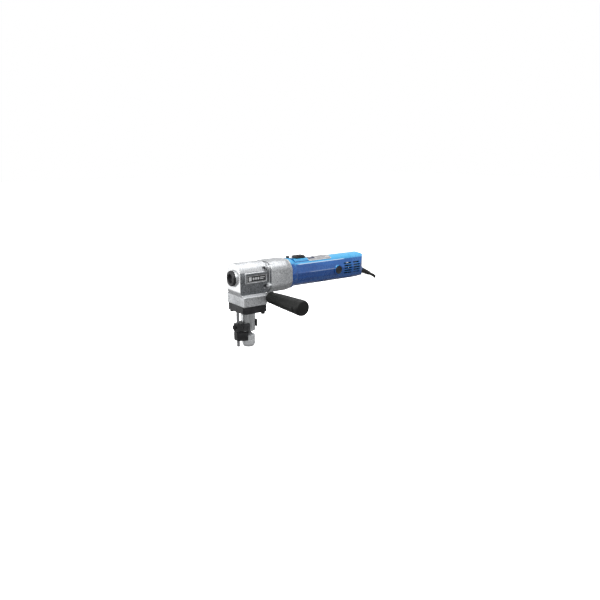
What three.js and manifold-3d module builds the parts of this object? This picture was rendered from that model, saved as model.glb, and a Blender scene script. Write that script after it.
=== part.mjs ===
// Electric punch nibbler: a cast head with an eccentric-driven ram, a die holder with a sheet slot,
// a two-stage gear case, a universal motor in a plastic housing, a side grip and a mains cord.
// Millimetres, +Z up. +X runs along the motor towards the cord, -Y is the side of the grip.
// Work coordinates: the punch axis is x = 0, y = 0 and the underside of the die holder is z = 0.
import * as THREE from "three";
import { mergeVertices } from "three/addons/utils/BufferGeometryUtils.js";
import Module from "manifold-3d";

const wasm = await Module();
wasm.setup();

// ---------- driving dimensions ----------
const ORIGIN_X = 143.7; // work x of the row origin, the middle of the tool's length
const ORIGIN_Y = -61.75; // work y of the row origin, the middle of the tool's width
const ZM = 153; // motor axis
const ZC = 157.5; // crank axis
const GAP = 0.3; // clearance between touching pieces
const FACETS = 0.64; // share of the listed facet counts that turned solids get
const PUNCH_STROKE = 5.5;
const ECC = PUNCH_STROKE / 2;
const HEAD_W = 29.2; // half width of the head's arch
const HEAD_FRONT = -35.5;
const ARCH_Z = 161.5;
const FLANGE_W = 37;
const LEDGE_Z = 122.5; // where the sides of the head step out to the flange
const PLATE = { x0: -31.5, x1: 26.9, z0: 82.3, z1: 97.6 };
const CASE_X0 = 41.3;
const CASE_X1 = 97.6;
const CASE_W = 35;
const MOTOR_X0 = 97.9;
const SEAM_X = 278;
const REAR_X = 331;
const BARREL_R = 31.3;
const LAY_Y = 16.04; // layshaft axis
const LAY_Z = (ZM + ZC) / 2;
const MODULE = 0.9;
const PINION_T = 9;
const GEAR_T = 27;
const HANDLE_X = 36;
const HANDLE_Z = 112.6;
const HANDLE_Y0 = -37.3;
const HANDLE_Y1 = -160.5;
const BRUSH_X = 232.7;
const BRUSH_Z = ZM - 2;
const GUARD_EXIT = [329, 0, 137.5];
const GUARD_TILT = 24; // degrees below level
const GUARD_LEN = 33;
const CORD_R = 3.75;
const COIL = { x: 352, y: 80, r0: 28.2, r1: 58.6, h: 15.2 };
const SLOT = { z0: 31.8, z1: 36.1 };
const DIE_R = 14.5;
const POST_R = 15.6;
const ROD_X = -26.5;
const ROD_R = 3.4;

// ---------- solids ----------
function solid(geometry, matrix) {
  const g = geometry.clone();
  if (matrix) g.applyMatrix4(matrix);
  for (const k of Object.keys(g.attributes)) if (k !== "position") g.deleteAttribute(k);
  const m = mergeVertices(g, 1e-4);
  const triVerts = new Uint32Array(m.index.array);
  const vertProperties = new Float32Array(m.attributes.position.array);
  let made = new wasm.Manifold(new wasm.Mesh({ numProp: 3, vertProperties, triVerts }));
  if (made.volume() < 0) {
    for (let i = 0; i < triVerts.length; i += 3) [triVerts[i + 1], triVerts[i + 2]] = [triVerts[i + 2], triVerts[i + 1]];
    made = new wasm.Manifold(new wasm.Mesh({ numProp: 3, vertProperties, triVerts }));
  }
  return made;
}
const basis = (a, b, c, o = [0, 0, 0]) => {
  const m = new THREE.Matrix4().makeBasis(new THREE.Vector3(...a), new THREE.Vector3(...b), new THREE.Vector3(...c));
  return m.setPosition(...o);
};
const TO_X = (x = 0, y = 0, z = 0) => basis([0, 1, 0], [0, 0, 1], [1, 0, 0], [x, y, z]); // local z to +X
const TO_Y = (x = 0, y = 0, z = 0) => basis([1, 0, 0], [0, 0, 1], [0, 1, 0], [x, y, z]); // local z to +Y
const shapeOf = (pts) => new THREE.Shape(pts.map((p) => new THREE.Vector2(...p)));
const extr = (pts, depth) => new THREE.ExtrudeGeometry(shapeOf(pts), { depth, bevelEnabled: false });
const prismX = (pts, x0, x1) => solid(extr(pts, x1 - x0), TO_X(x0)); // points are (y, z)
const prismY = (pts, y0, y1) => solid(extr(pts, y1 - y0), TO_Y(0, y0)); // points are (x, z)
const prismZ = (pts, z0, z1) => solid(extr(pts, z1 - z0), new THREE.Matrix4().makeTranslation(0, 0, z0)); // points are (x, y)
const box = (x0, x1, y0, y1, z0, z1) =>
  solid(new THREE.BoxGeometry(x1 - x0, y1 - y0, z1 - z0), new THREE.Matrix4().makeTranslation((x0 + x1) / 2, (y0 + y1) / 2, (z0 + z1) / 2));
// a turned solid: profile points are (radius, distance along the axis)
const latheGeo = (profile, n) => new THREE.LatheGeometry(profile.map((p) => new THREE.Vector2(...p)), n);
const facets = (n) => Math.max(8, Math.round(n * FACETS));
const turnX = (profile, n, y = 0, z = 0) => solid(latheGeo(profile, facets(n)), basis([0, 1, 0], [1, 0, 0], [0, 0, 1], [0, y, z]));
const turnY = (profile, n, x = 0, z = 0) => solid(latheGeo(profile, facets(n)), new THREE.Matrix4().makeTranslation(x, 0, z));
const turnZ = (profile, n, x = 0, y = 0) => solid(latheGeo(profile, facets(n)), basis([1, 0, 0], [0, 0, 1], [0, 1, 0], [x, y, 0]));
const rod = (r, a0, a1) => [[0, a0], [r, a0], [r, a1], [0, a1]];
const tube = (r0, r1, a0, a1) => [[r0, a0], [r1, a0], [r1, a1], [r0, a1], [r0, a0]];
const cylX = (r, x0, x1, y, z, n = 20) => turnX(rod(r, x0, x1), n, y, z);
const cylY = (r, y0, y1, x, z, n = 20) => turnY(rod(r, y0, y1), n, x, z);
const cylZ = (r, z0, z1, x, y, n = 20) => turnZ(rod(r, z0, z1), n, x, y);
const arc = (cx, cy, r, a0, a1, n) =>
  Array.from({ length: n + 1 }, (_, i) => {
    const a = ((a0 + ((a1 - a0) * i) / n) * Math.PI) / 180;
    return [cx + r * Math.cos(a), cy + r * Math.sin(a)];
  });
const union = (...s) => s.reduce((a, b) => a.add(b));
const cut = (a, ...s) => s.reduce((x, y) => x.subtract(y), a);
const mirrorPts = (half) => [...half, ...half.slice().reverse().filter((p) => Math.abs(p[0]) > 1e-9).map(([a, b]) => [-a, b])];

// spur gear outline: straight-flanked teeth on a pitch circle, thinned for running clearance
function gearPts(teeth, cy, cz, phase) {
  const r = (MODULE * teeth) / 2, ra = r + 0.62, rf = r - 0.95, pts = [];
  for (let i = 0; i < teeth; i++) {
    const c = phase + (2 * Math.PI * i) / teeth;
    const w = ((MODULE * Math.PI) / 4 - 0.14) / r; // half tooth angle at the pitch circle
    const wt = Math.max(0.12 / ra, w * (r / ra) - 0.3 / ra), wf = w + 0.24 / rf;
    for (const [a, q] of [[-wf, rf], [-wt, ra], [wt, ra], [wf, rf]]) pts.push([cy + q * Math.cos(c + a), cz + q * Math.sin(c + a)]);
  }
  return pts;
}

// ---------- materials ----------
const mat = (color, roughness, metalness) => new THREE.MeshStandardMaterial({ color, roughness, metalness });
const CAST = mat(0xb9bbbb, 0.5, 0.85), MACHINED = mat(0xd6d8d9, 0.3, 0.9), BLACK = mat(0x1b1b1c, 0.45, 0.5);
const STEEL = mat(0x9a9b9d, 0.35, 1), BLUE = mat(0x1f5fb8, 0.25, 0), GRIP = mat(0x171718, 0.75, 0), RUBBER = mat(0x19191a, 0.7, 0);
const COPPER = mat(0xb5652f, 0.4, 0.9), BRASS = mat(0xb59a4a, 0.35, 1), CARBON = mat(0x2c2c2e, 0.8, 0.1), LABEL = mat(0xdedfe2, 0.4, 0.2);
const LAMINATE = mat(0x6f7073, 0.5, 0.8), BEARING = mat(0xc0c1c4, 0.25, 1), BRONZE = mat(0xa5763c, 0.4, 1);

const root = new THREE.Group();
const tool = new THREE.Group();
tool.position.set(-ORIGIN_X, -ORIGIN_Y, 0);
root.add(tool);
const groups = {};
const within = (name) => {
  if (!groups[name]) { groups[name] = new THREE.Group(); groups[name].name = name + "_group"; tool.add(groups[name]); }
  return groups[name];
};
// a piece is a solid in work coordinates, kept about its own anchor point
function piece(group, name, s, material, anchor = [0, 0, 0]) {
  const m = s.getMesh(), n = m.numProp, v = new Float32Array(m.numVert * 3);
  for (let i = 0; i < m.numVert; i++) for (let k = 0; k < 3; k++) v[i * 3 + k] = m.vertProperties[i * n + k] - anchor[k];
  const g = new THREE.BufferGeometry();
  g.setAttribute("position", new THREE.BufferAttribute(v, 3));
  g.setIndex(new THREE.BufferAttribute(new Uint32Array(m.triVerts), 1));
  const flat = g.toNonIndexed();
  flat.computeVertexNormals();
  const mesh = new THREE.Mesh(flat, material);
  mesh.name = name;
  mesh.position.set(...anchor);
  within(group).add(mesh);
  return s;
}

// ---------- head ----------
const SCREW_HI = [27, ZM + 24], SCREW_LO = [31, ZM - 16];
const CASE_SCREWS = [[-SCREW_HI[0], SCREW_HI[1]], [SCREW_HI[0], SCREW_HI[1]], [-SCREW_LO[0], SCREW_LO[1]], [SCREW_LO[0], SCREW_LO[1]]];
const BASE_BOLTS = [[-23.5, -30], [-23.5, 30], [20, -30], [20, 30]];
{
  const archHalf = [...arc(0, ARCH_Z, HEAD_W, 90, 0, 12).map(([y, z]) => [Math.max(y, 0), z])];
  const half = [...archHalf, [HEAD_W, LEDGE_Z], [FLANGE_W, 119], [FLANGE_W, 97.9]];
  half[0][0] = 0;
  const outlineYZ = mirrorPts(half);
  const sideXZ = [[HEAD_FRONT, 196], [HEAD_FRONT, 130], [-31.5, 119], [-31.5, 97.9], [26.9, 97.9], [26.9, 119], [34.5, 129], [34.5, 196]];
  let s = prismX(outlineYZ, -40, 38).intersect(prismY(sideXZ, -45, 45));
  // neck and its four lugs against the gear case
  s = s.add(prismX([[-23, ZM - 24], [23, ZM - 24], [23, ZM + 24], [16, ZM + 33], [-16, ZM + 33], [-23, ZM + 24]], 30, 41));
  s = s.add(prismX([[-32, ZM - 18], [-20, ZM - 29], [20, ZM - 29], [32, ZM - 18], [32, ZM + 21], [20.5, ZM + 32.5], [-20.5, ZM + 32.5], [-32, ZM + 21]], 36.8, 41)); // flange that closes the gear case
  for (const [y, z] of CASE_SCREWS) {
    const inner = [y * 0.6, ZM + (z - ZM) * 0.6];
    s = s.add(cylX(5.6, 33.2, 41, y, z, 16));
    const dy = y - inner[0], dz = z - inner[1], l = Math.hypot(dy, dz), ny = (-dz / l) * 5.6, nz = (dy / l) * 5.6;
    s = s.add(prismX([[y + ny, z + nz], [inner[0] + ny, inner[1] + nz], [inner[0] - ny, inner[1] - nz], [y - ny, z - nz]], 34.6, 41));
  }
  // handle bosses, one each side; the grip's stud enters the near one
  for (const k of [-1, 1]) {
    const y0 = k < 0 ? -FLANGE_W : 25.8, y1 = k < 0 ? -25.8 : FLANGE_W;
    s = s.add(cylY(9.8, y0, y1, HANDLE_X, HANDLE_Z, 24)).add(box(18, HANDLE_X, y0, y1, HANDLE_Z - 9.4, HANDLE_Z + 5.4));
  }
  // raised frame of the side plate
  s = s.add(box(-22, 33, -31, -26, 147, 170));
  s = cut(s, box(-19.4, 30.4, -33, -29.6, 149.4, 165.2));
  // screw head pockets
  for (const [y, z] of CASE_SCREWS) s = cut(s, cylX(5.3, 24, 33.3, y, z, 16), cylX(2.7, 30, 42, y, z, 12));
  // crank bores, yoke chamber, ram bush bore
  s = cut(s, cylX(14, -40, -20.5, 0, ZC, 28), cylX(9.5, -22, -7, 0, ZC, 24), cylX(9.5, 6, 23, 0, ZC, 24), cylX(14, 21, 42, 0, ZC, 28));
  const R = 18.4;
  s = cut(s, prismX([[-17.6, 133.8], [17.6, 133.8], [17.6, 178], [14, 182.3], [-14, 182.3], [-17.6, 178]], -9, 9));
  s = cut(s, cylZ(12.3, 90, 135, 0, 0, 28));
  s = cut(s, cylX(5.9, 34.5, 42, LAY_Y, LAY_Z, 20));
  for (const [x, y] of BASE_BOLTS) s = cut(s, cylZ(3.1, 90, 111.5, x, y, 12));
  s = cut(s, cylY(4.3, -45, -24, HANDLE_X, HANDLE_Z, 16)); // the far boss is left undrilled
  piece("head", "head_housing", s, CAST, [0, 0, 140]);
}
piece("head", "front_bearing_cap", turnX([[0, -36.5], [9.6, -36.5], [10.4, -43.6], [15.4, -43.6], [16.8, -42.3], [16.8, -35.8], [13.7, -35.8], [13.7, -30.6], [0, -30.6]], 32, 0, ZC), BLACK, [-36, 0, ZC]);
piece("head", "front_cap_ring", turnX([[17.1, -35.8], [18.9, -35.8], [18.9, -37.6], [18.3, -38.3], [17.1, -38.3], [17.1, -35.8]], 32, 0, ZC), MACHINED, [-36, 0, ZC]);
piece("head", "side_plate", box(-18.9, 29.9, -30.4, -29.9, 149.9, 164.7), BLACK, [5, -30, 157]);
CASE_SCREWS.forEach(([y, z], i) =>
  piece("head", "gear_case_screw_" + (i + 1), cut(turnX([[0, 28.4], [4.3, 28.4], [4.3, 33], [2.4, 33], [2.4, 56], [0, 56]], 14, y, z)), STEEL, [33, y, z]));

// ---------- base plate ----------
{
  const c = 6, { x0, x1, z0, z1 } = PLATE, w = FLANGE_W;
  let s = prismZ([[x0 + c, -w], [x1 - 3, -w], [x1, -w + 3], [x1, w - 3], [x1 - 3, w], [x0 + c, w], [x0, w - c], [x0, -w + c]], z0, z1);
  s = cut(s, cylZ(12.3, z0 - 1, z1 + 1, 0, 0, 28), cylZ(ROD_R + GAP, z0 - 1, 92, ROD_X, 0, 14));
  for (const [x, y] of BASE_BOLTS) s = cut(s, cylZ(3.1, z0 - 1, z1 + 1, x, y, 12));
  s = cut(s, cylZ(4.9, z0 - 1, 88.3, ...BASE_BOLTS[0], 14)); // counterbore beside the guide rod
  piece("head", "base_plate", s, BLACK, [0, 0, z0]);
}
BASE_BOLTS.forEach(([x, y], i) =>
  piece("head", "base_bolt_" + (i + 1), turnZ(i ? [[0, 76.6], [4.6, 76.6], [4.6, 82], [2.8, 82], [2.8, 110], [0, 110]] : [[0, 82.6], [4.6, 82.6], [4.6, 88], [2.8, 88], [2.8, 110], [0, 110]], 14, x, y), BLACK, [x, y, 82]));

// ---------- die holder, die, punch, ram ----------
{
  let s = turnZ([[0, SLOT.z1], [POST_R - 1, SLOT.z1], [POST_R, SLOT.z1 + 1], [POST_R, 82], [12, 82], [12, 97.3], [0, 97.3]], 32);
  let low = turnZ([[0, 0], [DIE_R - 3, 0], [DIE_R, 5.5], [DIE_R, 25.5], [DIE_R - 1.5, 27], [0, 27]], 32);
  s = union(s, low, box(-14.2, -8.6, -3.6, 3.6, 24, 40));
  s = cut(s, cylZ(8.4, 46, 99, 0, 0, 24), cylZ(5, 30, 50, 0, 0, 20), cylZ(9.3, 5, 30, 0, 0, 24), cylZ(6.4, -1, 7, 0, 0, 20));
  s = cut(s, box(-16, -8, -0.6, 0.6, -1, 23), box(-8.55, -5, -4, 4, 27, SLOT.z1));
  piece("tool", "die_holder", s, MACHINED, [0, 0, 40]);
}
piece("tool", "die", turnZ([[5.4, 5.4], [9, 5.4], [9, 28], [8, 28.6], [8, SLOT.z1 - 0.9 - 4.3 + 0.9], [5.4, SLOT.z0], [5.4, 5.4]], 24), STEEL, [0, 0, 20]);
piece("tool", "punch", turnZ([[0, 12], [2, 12.6], [2, SLOT.z1 + 0.2], [4.7, SLOT.z1 + 0.2], [4.7, 61.7], [0, 61.7]], 20), STEEL, [0, 0, 40]);
{
  // ram with the slotted yoke on top; the eccentric roller works in the window
  const zy = ZC + ECC, hw = 10 + ECC + 0.35, hh = 10 + 2 * ECC + 0.35;
  let s = turnZ(rod(8, 62, 142), 24);
  s = s.add(prismX([[-16.6, zy - hh - 4], [16.6, zy - hh - 4], [16.6, zy + hh], [13, zy + hh + 4], [-13, zy + hh + 4], [-16.6, zy + hh]], -6, 6));
  s = cut(s, box(-7, 7, -hw, hw, zy - hh, zy + hh));
  piece("tool", "ram", s, STEEL, [0, 0, 120]);
}
piece("tool", "ram_bush", turnZ(tube(8.3, 12, 98.2, 132.5), 24), BRONZE, [0, 0, 115]);
piece("tool", "post_lock_key", box(15.9, 18.6, -8.5, -1.5, 43, 60), BLACK, [17, -5, 51]);

// ---------- guide rod, clamp arm and guide block ----------
piece("guide", "guide_rod", turnZ([[0, 2], [ROD_R - 0.6, 2], [ROD_R, 2.6], [ROD_R, 91], [0, 91]], 16, ROD_X, 0), STEEL, [ROD_X, 0, 40]);
{
  let s = union(turnZ(rod(19.6, 38, 55.5), 28), box(-34, -10, -8, 7, 38, 55.5), cylZ(7, 38, 55.5, -29, -1, 16));
  s = cut(s, turnZ(rod(POST_R + GAP, 37, 57), 32), cylZ(ROD_R + GAP, 37, 57, ROD_X, 0, 16), box(-6.5, 22, -22, 22, 37, 57));
  s = cut(s, cylX(1.9, -37, -26.5, -4.6, 48.5, 12));
  piece("guide", "clamp_arm", s, BLACK, [-15, 0, 48]);
}
piece("guide", "clamp_knob", cut(turnX([[0, -41.5], [4.2, -41.5], [4.8, -40.9], [4.8, -36.6], [4.2, -36], [1.6, -36], [1.6, -30.4], [0, -30.4]], 16, -4.6, 48.5), box(-42, -40, -9.5, 0.5, 48, 49)), BLACK, [-38, -4.6, 48.5]);
{
  let s = union(prismZ([[-34, -8], [-30, -12], [-22, -16], [-15, -18.4], [-12, -18.4], [-12, -10], [-12, 11], [-30, 10], [-34, 6]], 17.5, 35.7));
  s = cut(s, turnZ(rod(DIE_R + GAP + 0.1, 10, 45), 32), cylZ(ROD_R + GAP, 10, 45, ROD_X, 0, 16), box(-15.5, 5, -4.2, 20, 10, 45));
  piece("guide", "guide_block", s, BLACK, [-20, 0, 27]);
}

// ---------- crank train ----------
{
  let s = union(cylX(6, -29.6, -12, 0, ZC, 20), cylX(8.6, -12, -8.4, 0, ZC, 20), cylX(7, -8.6, 8.6, 0, ZC + ECC, 24), cylX(8.6, 8.4, 12, 0, ZC, 20), cylX(6, 12, 58, 0, ZC, 20));
  piece("train", "crankshaft", s, STEEL, [0, 0, ZC]);
}
piece("train", "eccentric_roller", turnX(tube(7.3, 10, -6.5, 6.5), 28, 0, ZC + ECC), BEARING, [0, 0, ZC + ECC]);
piece("train", "crank_bearing_front", turnX(tube(6.3, 13.7, -29.8, -21), 24, 0, ZC), BEARING, [-25, 0, ZC]);
piece("train", "crank_bearing_rear", turnX(tube(6.3, 13.7, 24, 34), 24, 0, ZC), BEARING, [29, 0, ZC]);
// mesh phases: a tooth of one gear faces a gap of the other along the line of centres
const aCL = Math.atan2(LAY_Z - ZC, LAY_Y), aAL = Math.atan2(LAY_Z - ZM, LAY_Y);
piece("train", "crank_gear", cut(prismX(gearPts(GEAR_T, 0, ZC, aCL), 46, 55), cylX(6.3, 45, 56, 0, ZC, 20)), STEEL, [50, 0, ZC]);
{
  const layPinion = prismX(gearPts(PINION_T, LAY_Y, LAY_Z, aCL + Math.PI + Math.PI / PINION_T), 44.6, 57);
  piece("train", "layshaft", union(layPinion, cylX(3, 35, 95, LAY_Y, LAY_Z, 16)), STEEL, [60, LAY_Y, LAY_Z]);
}
piece("train", "layshaft_gear", cut(prismX(gearPts(GEAR_T, LAY_Y, LAY_Z, aAL + Math.PI), 75, 84), cylX(3.3, 74, 85, LAY_Y, LAY_Z, 16)), STEEL, [80, LAY_Y, LAY_Z]);
piece("train", "layshaft_bearing_front", turnX(tube(3.3, 5.6, 35, 41), 18, LAY_Y, LAY_Z), BEARING, [38, LAY_Y, LAY_Z]);
piece("train", "layshaft_bearing_rear", turnX(tube(3.3, 5.6, 89.2, 94.8), 18, LAY_Y, LAY_Z), BEARING, [92, LAY_Y, LAY_Z]);

// ---------- gear case ----------
{
  const front = [[-CASE_W, ZM - 20], [-19, ZM - 34.5], [19, ZM - 34.5], [CASE_W, ZM - 20], [CASE_W, ZM + 23], [22, ZM + 35.5], [-22, ZM + 35.5], [-CASE_W, ZM + 23]];
  const envelope = turnX([[0, 40], [47, 40], [47, 60], [43, 78], [37.6, 93], [37.6, 100], [0, 100]], 40, 0, ZM + 1);
  let s = prismX(front, CASE_X0, CASE_X1).intersect(envelope);
  const cavity = cylX(30.6, CASE_X0 - 1, 88.6, 0, ZM + 2, 36).intersect(box(40, 90, -30.6, 30.6, ZM - 26, ZM + 31));
  s = cut(s, cavity.intersect(turnX([[0, 30], [40, 30], [40, 70], [30, 90], [0, 90]], 32, 0, ZM + 1)), cylX(9.6, 85, 99, 0, ZM, 28), cylX(5.9, 85, 95.2, LAY_Y, LAY_Z, 20));
  for (const [y, z] of CASE_SCREWS) s = cut(s, cylX(2.7, 40, 57, y, z, 12));
  piece("gear", "gear_case", s, CAST, [70, 0, ZM]);
}

// ---------- motor housing and rear cover ----------
function barrel(grow) {
  const r = BARREL_R + grow;
  const half = [...arc(0, ZM, r, 90, 44, 5).map(([y, z]) => [Math.max(0, y), z]), [31.3 + grow, ZM + 3], [30 + grow, ZM - 10], [23.5 + grow * 0.8, ZM - 22], [12.5, ZM - 29.2 - grow * 0.8], [0, ZM - 31.3 - grow]];
  half[0][0] = 0;
  return mirrorPts(half);
}
const ventRows = [11.2, 5.4, -0.4, -6.2, -12];
const vent = (x0, x1) => ventRows.flatMap((z) => [box(x0, x1, -40, -24, ZM + z - 1.5, ZM + z + 1.5), box(x0, x1, 24, 40, ZM + z - 1.5, ZM + z + 1.5)]);
{
  let s = prismX(barrel(0), MOTOR_X0, SEAM_X);
  const collar = prismX(barrel(4.2), MOTOR_X0, 116).intersect(turnX([[0, 90], [37.4, 90], [37.4, 101], [31.4, 115], [0, 115]], 36, 0, ZM));
  s = s.add(collar);
  // raised pad under the slide switch
  s = s.add(prismX(mirrorPts([[0, ZM + 33], [12.5, ZM + 32.2], [18, ZM + 27], [18, ZM + 20], [0, ZM + 20]]), 116, 154.5));
  for (const k of [-1, 1]) s = s.add(turnY(k < 0 ? rod(11.6, -33.2, -24) : rod(11.6, 24, 33.2), 28, BRUSH_X, BRUSH_Z));
  s = cut(s, cylX(28.2, 101.5, 276, 0, ZM, 36), cylX(26, 97, 103, 0, ZM, 32), cylX(27.2, 275, 279, 0, ZM, 36));
  s = cut(s, cylY(9.9, -35, -28.4, BRUSH_X, BRUSH_Z, 28), cylY(9.9, 28.4, 35, BRUSH_X, BRUSH_Z, 28), cylY(7, -30, -20, BRUSH_X, BRUSH_Z, 20), cylY(7, 20, 30, BRUSH_X, BRUSH_Z, 20));
  s = cut(s, box(119, 148, -4.3, 4.3, ZM + 20, ZM + 40)); // switch slot
  s = cut(s, cylZ(3.6, ZM + 20, ZM + 45, 107.5, 0, 16), cylZ(5.3, ZM + 33.9, ZM + 45, 107.5, 0, 20)); // lock button bore and the recess round it
  s = cut(s, ...vent(252, 275.6));
  piece("motor", "motor_housing", s, BLUE, [180, 0, ZM]);
}
const gd = [Math.cos((GUARD_TILT * Math.PI) / 180), 0, -Math.sin((GUARD_TILT * Math.PI) / 180)];
const guardFrame = () => basis([0, 1, 0], gd, [gd[2], 0, -gd[0]], GUARD_EXIT);
{
  let s = prismX(barrel(0), SEAM_X + GAP, REAR_X + 5);
  s = s.intersect(prismY([[SEAM_X, ZM + 40], [SEAM_X, ZM - 31.5], [300, ZM - 28.5], [316, ZM - 25.5], [323, ZM - 21], [326.5, ZM - 13], [327.5, ZM - 4], [327.5, ZM + 10], [325, ZM + 20], [319, ZM + 27.5], [311, ZM + 31.4], [298, ZM + 40]], -40, 40));
  s = s.intersect(prismZ([[SEAM_X, -34], [298, -31.5], [308, -27.5], [316, -21], [322, -13], [326, -6.5], [327.5, 0], [326, 6.5], [322, 13], [316, 21], [308, 27.5], [298, 31.5], [SEAM_X, 34]], 100, 200));
  s = s.add(solid(latheGeo(rod(9, -16, -1.2), 24), guardFrame()).intersect(box(308, REAR_X, -12, 12, 120, 150)));
  s = cut(s, turnX([[0, 270], [27.2, 270], [27.2, 299], [18.5, 317], [0, 317]], 32, 0, ZM + 0.6));
  s = cut(s, solid(latheGeo(rod(7.1, -22, 12), 20), guardFrame()));
  s = cut(s, ...vent(280.6, 301));
  piece("motor", "rear_cover", s, BLUE, [300, 0, ZM]);
}
piece("motor", "rating_label", prismX([...arc(0, ZM, 32.2, 126, 54, 10), ...arc(0, ZM, 31.65, 54, 126, 10)], 155.5, 221), LABEL, [188, 0, ZM + 31]);
{
  // slide button with cross ribs, on a stem through the slot
  let s = box(124, 152, -10.5, 10.5, ZM + 33.4, ZM + 36);
  for (let i = 0; i < 5; i++) s = s.add(prismY([[126.2 + i * 5, ZM + 35.6], [129.6 + i * 5, ZM + 35.6], [128.9 + i * 5, ZM + 38.6], [126.9 + i * 5, ZM + 38.6]], -9.5, 9.5));
  s = s.add(box(128, 137.6, -3.8, 3.8, ZM + 25.4, ZM + 34));
  s = s.add(box(130, 258, -2, 2, ZM + 25.4, ZM + 27.4)); // link rod to the switch
  piece("switch", "switch_slide_button", s, BLACK, [138, 0, ZM + 34]);
}
piece("switch", "lock_button", turnZ([[0, ZM + 29], [3.3, ZM + 29], [3.3, ZM + 36], [4.6, ZM + 36.2], [4.6, ZM + 38.6], [3.8, ZM + 39.4], [0, ZM + 39.4]], 18, 107.5, 0), BLACK, [107.5, 0, ZM + 36]);

// ---------- motor inside ----------
{
  const pin = prismX(gearPts(PINION_T, 0, ZM, aAL + Math.PI / PINION_T), 74, 86);
  piece("motor", "armature_shaft", union(pin, cylX(4, 86, 98, 0, ZM, 20), cylX(5, 98, 289, 0, ZM, 20), cylX(3.5, 289, 300, 0, ZM, 16)), STEEL, [180, 0, ZM]);
}
piece("motor", "motor_bearing_front", turnX(tube(4.3, 9.3, 89.2, 97.3), 24, 0, ZM), BEARING, [93, 0, ZM]);
piece("motor", "motor_bearing_rear", turnX(tube(3.8, 9.5, 289.3, 297.5), 20, 0, ZM), BEARING, [293, 0, ZM]);
{
  let s = turnX([[5.3, 106], [25.6, 106], [25.6, 107.6], [9, 108.4], [9, 118], [5.3, 118], [5.3, 106]], 28, 0, ZM);
  for (let i = 0; i < 8; i++) {
    const b = solid(new THREE.BoxGeometry(10.4, 16.4, 1.4), new THREE.Matrix4().makeRotationX((i * Math.PI) / 4).multiply(new THREE.Matrix4().makeTranslation(112.4, 16.8, 0)));
    s = s.add(b.translate([0, 0, ZM]));
  }
  piece("motor", "cooling_fan", s, BLACK, [112, 0, ZM]);
}
{
  let s = turnX(tube(5.3, 17.3, 140, 195), 36, 0, ZM);
  for (let i = 0; i < 8; i++) s = cut(s, solid(new THREE.BoxGeometry(57, 5, 2.2), new THREE.Matrix4().makeRotationX((i * Math.PI) / 4).multiply(new THREE.Matrix4().makeTranslation(167.5, 16, 0))).translate([0, 0, ZM]));
  s = s.add(turnX([[5.3, 194.5], [14.5, 194.5], [15, 203], [11, 214], [5.3, 216], [5.3, 194.5]], 24, 0, ZM)); // end turns of the winding
  piece("motor", "armature_core", s, LAMINATE, [167, 0, ZM]);
}
piece("motor", "commutator", turnX(tube(5.3, 11, 221, 243.5), 24, 0, ZM), COPPER, [232, 0, ZM]);
{
  let s = turnX(tube(18.2, 27.5, 140, 195), 36, 0, ZM);
  for (const k of [-1, 1]) s = cut(s, box(138, 197, k < 0 ? -23.5 : 17, k < 0 ? -17 : 23.5, ZM - 9, ZM + 9));
  for (const k of [-1, 1]) s = s.add(prismX([...arc(0, ZM, 25.8, k * 25, k * 155, 12), ...arc(0, ZM, 19, k * 155, k * 25, 12)], 194.5, 206)); // end turns of the field coils
  s = cut(s, box(138, 208, -3, 3, ZM + 24.6, ZM + 30)); // groove for the link rod
  piece("motor", "stator_core", s, LAMINATE, [167, 0, ZM]);
}
{
  let s = cut(turnX(tube(9.8, 26.1, 284, 297), 32, 0, ZM), ...[0, 1, 2, 3].map((i) => cylX(5.4, 280, 300, 18.2 * Math.cos(0.9 + (i * Math.PI) / 2), ZM - 0.5 + 18.2 * Math.sin(0.9 + (i * Math.PI) / 2) * (i < 2 ? 0.2 : 1), 14)));
  s = cut(s, box(283, 300, -40, 40, ZM + 20, ZM + 40), box(283, 300, -1, 1, ZM + 19, ZM + 21));
  piece("motor", "rear_bearing_bracket", s, BLACK, [290, 0, ZM]);
}
piece("switch", "switch_body", box(262, 281, -9, 9, ZM + 13.2, ZM + 24.2), BLACK, [270, 0, ZM + 19]);
for (const k of [-1, 1]) {
  const side = k < 0 ? "near" : "far", f = (y0, y1) => (k < 0 ? [-y1, -y0] : [y0, y1]);
  piece("motor", "carbon_brush_" + side, box(BRUSH_X - 3, BRUSH_X + 3, ...f(11.4, 24), BRUSH_Z - 2.2, BRUSH_Z + 2.2), CARBON, [BRUSH_X, 16 * k, BRUSH_Z]);
  piece("motor", "brush_holder_" + side, cut(box(BRUSH_X - 4.6, BRUSH_X + 4.6, ...f(13.2, 27.8), BRUSH_Z - 3.8, BRUSH_Z + 3.8), box(BRUSH_X - 3.3, BRUSH_X + 3.3, ...f(12, 29), BRUSH_Z - 2.5, BRUSH_Z + 2.5)), BRASS, [BRUSH_X, 20 * k, BRUSH_Z]);
  const cap = turnY(k < 0 ? [[0, -33.4], [8.6, -33.4], [9.6, -32.4], [9.6, -28.7], [0, -28.7]] : [[0, 28.7], [9.6, 28.7], [9.6, 32.4], [8.6, 33.4], [0, 33.4]], 28, BRUSH_X, BRUSH_Z);
  piece("motor", "brush_cap_" + side, cut(cap, box(BRUSH_X - 6.5, BRUSH_X + 6.5, ...f(32, 35), BRUSH_Z - 0.9, BRUSH_Z + 0.9)), BLACK, [BRUSH_X, 31 * k, BRUSH_Z]);
}

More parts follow.
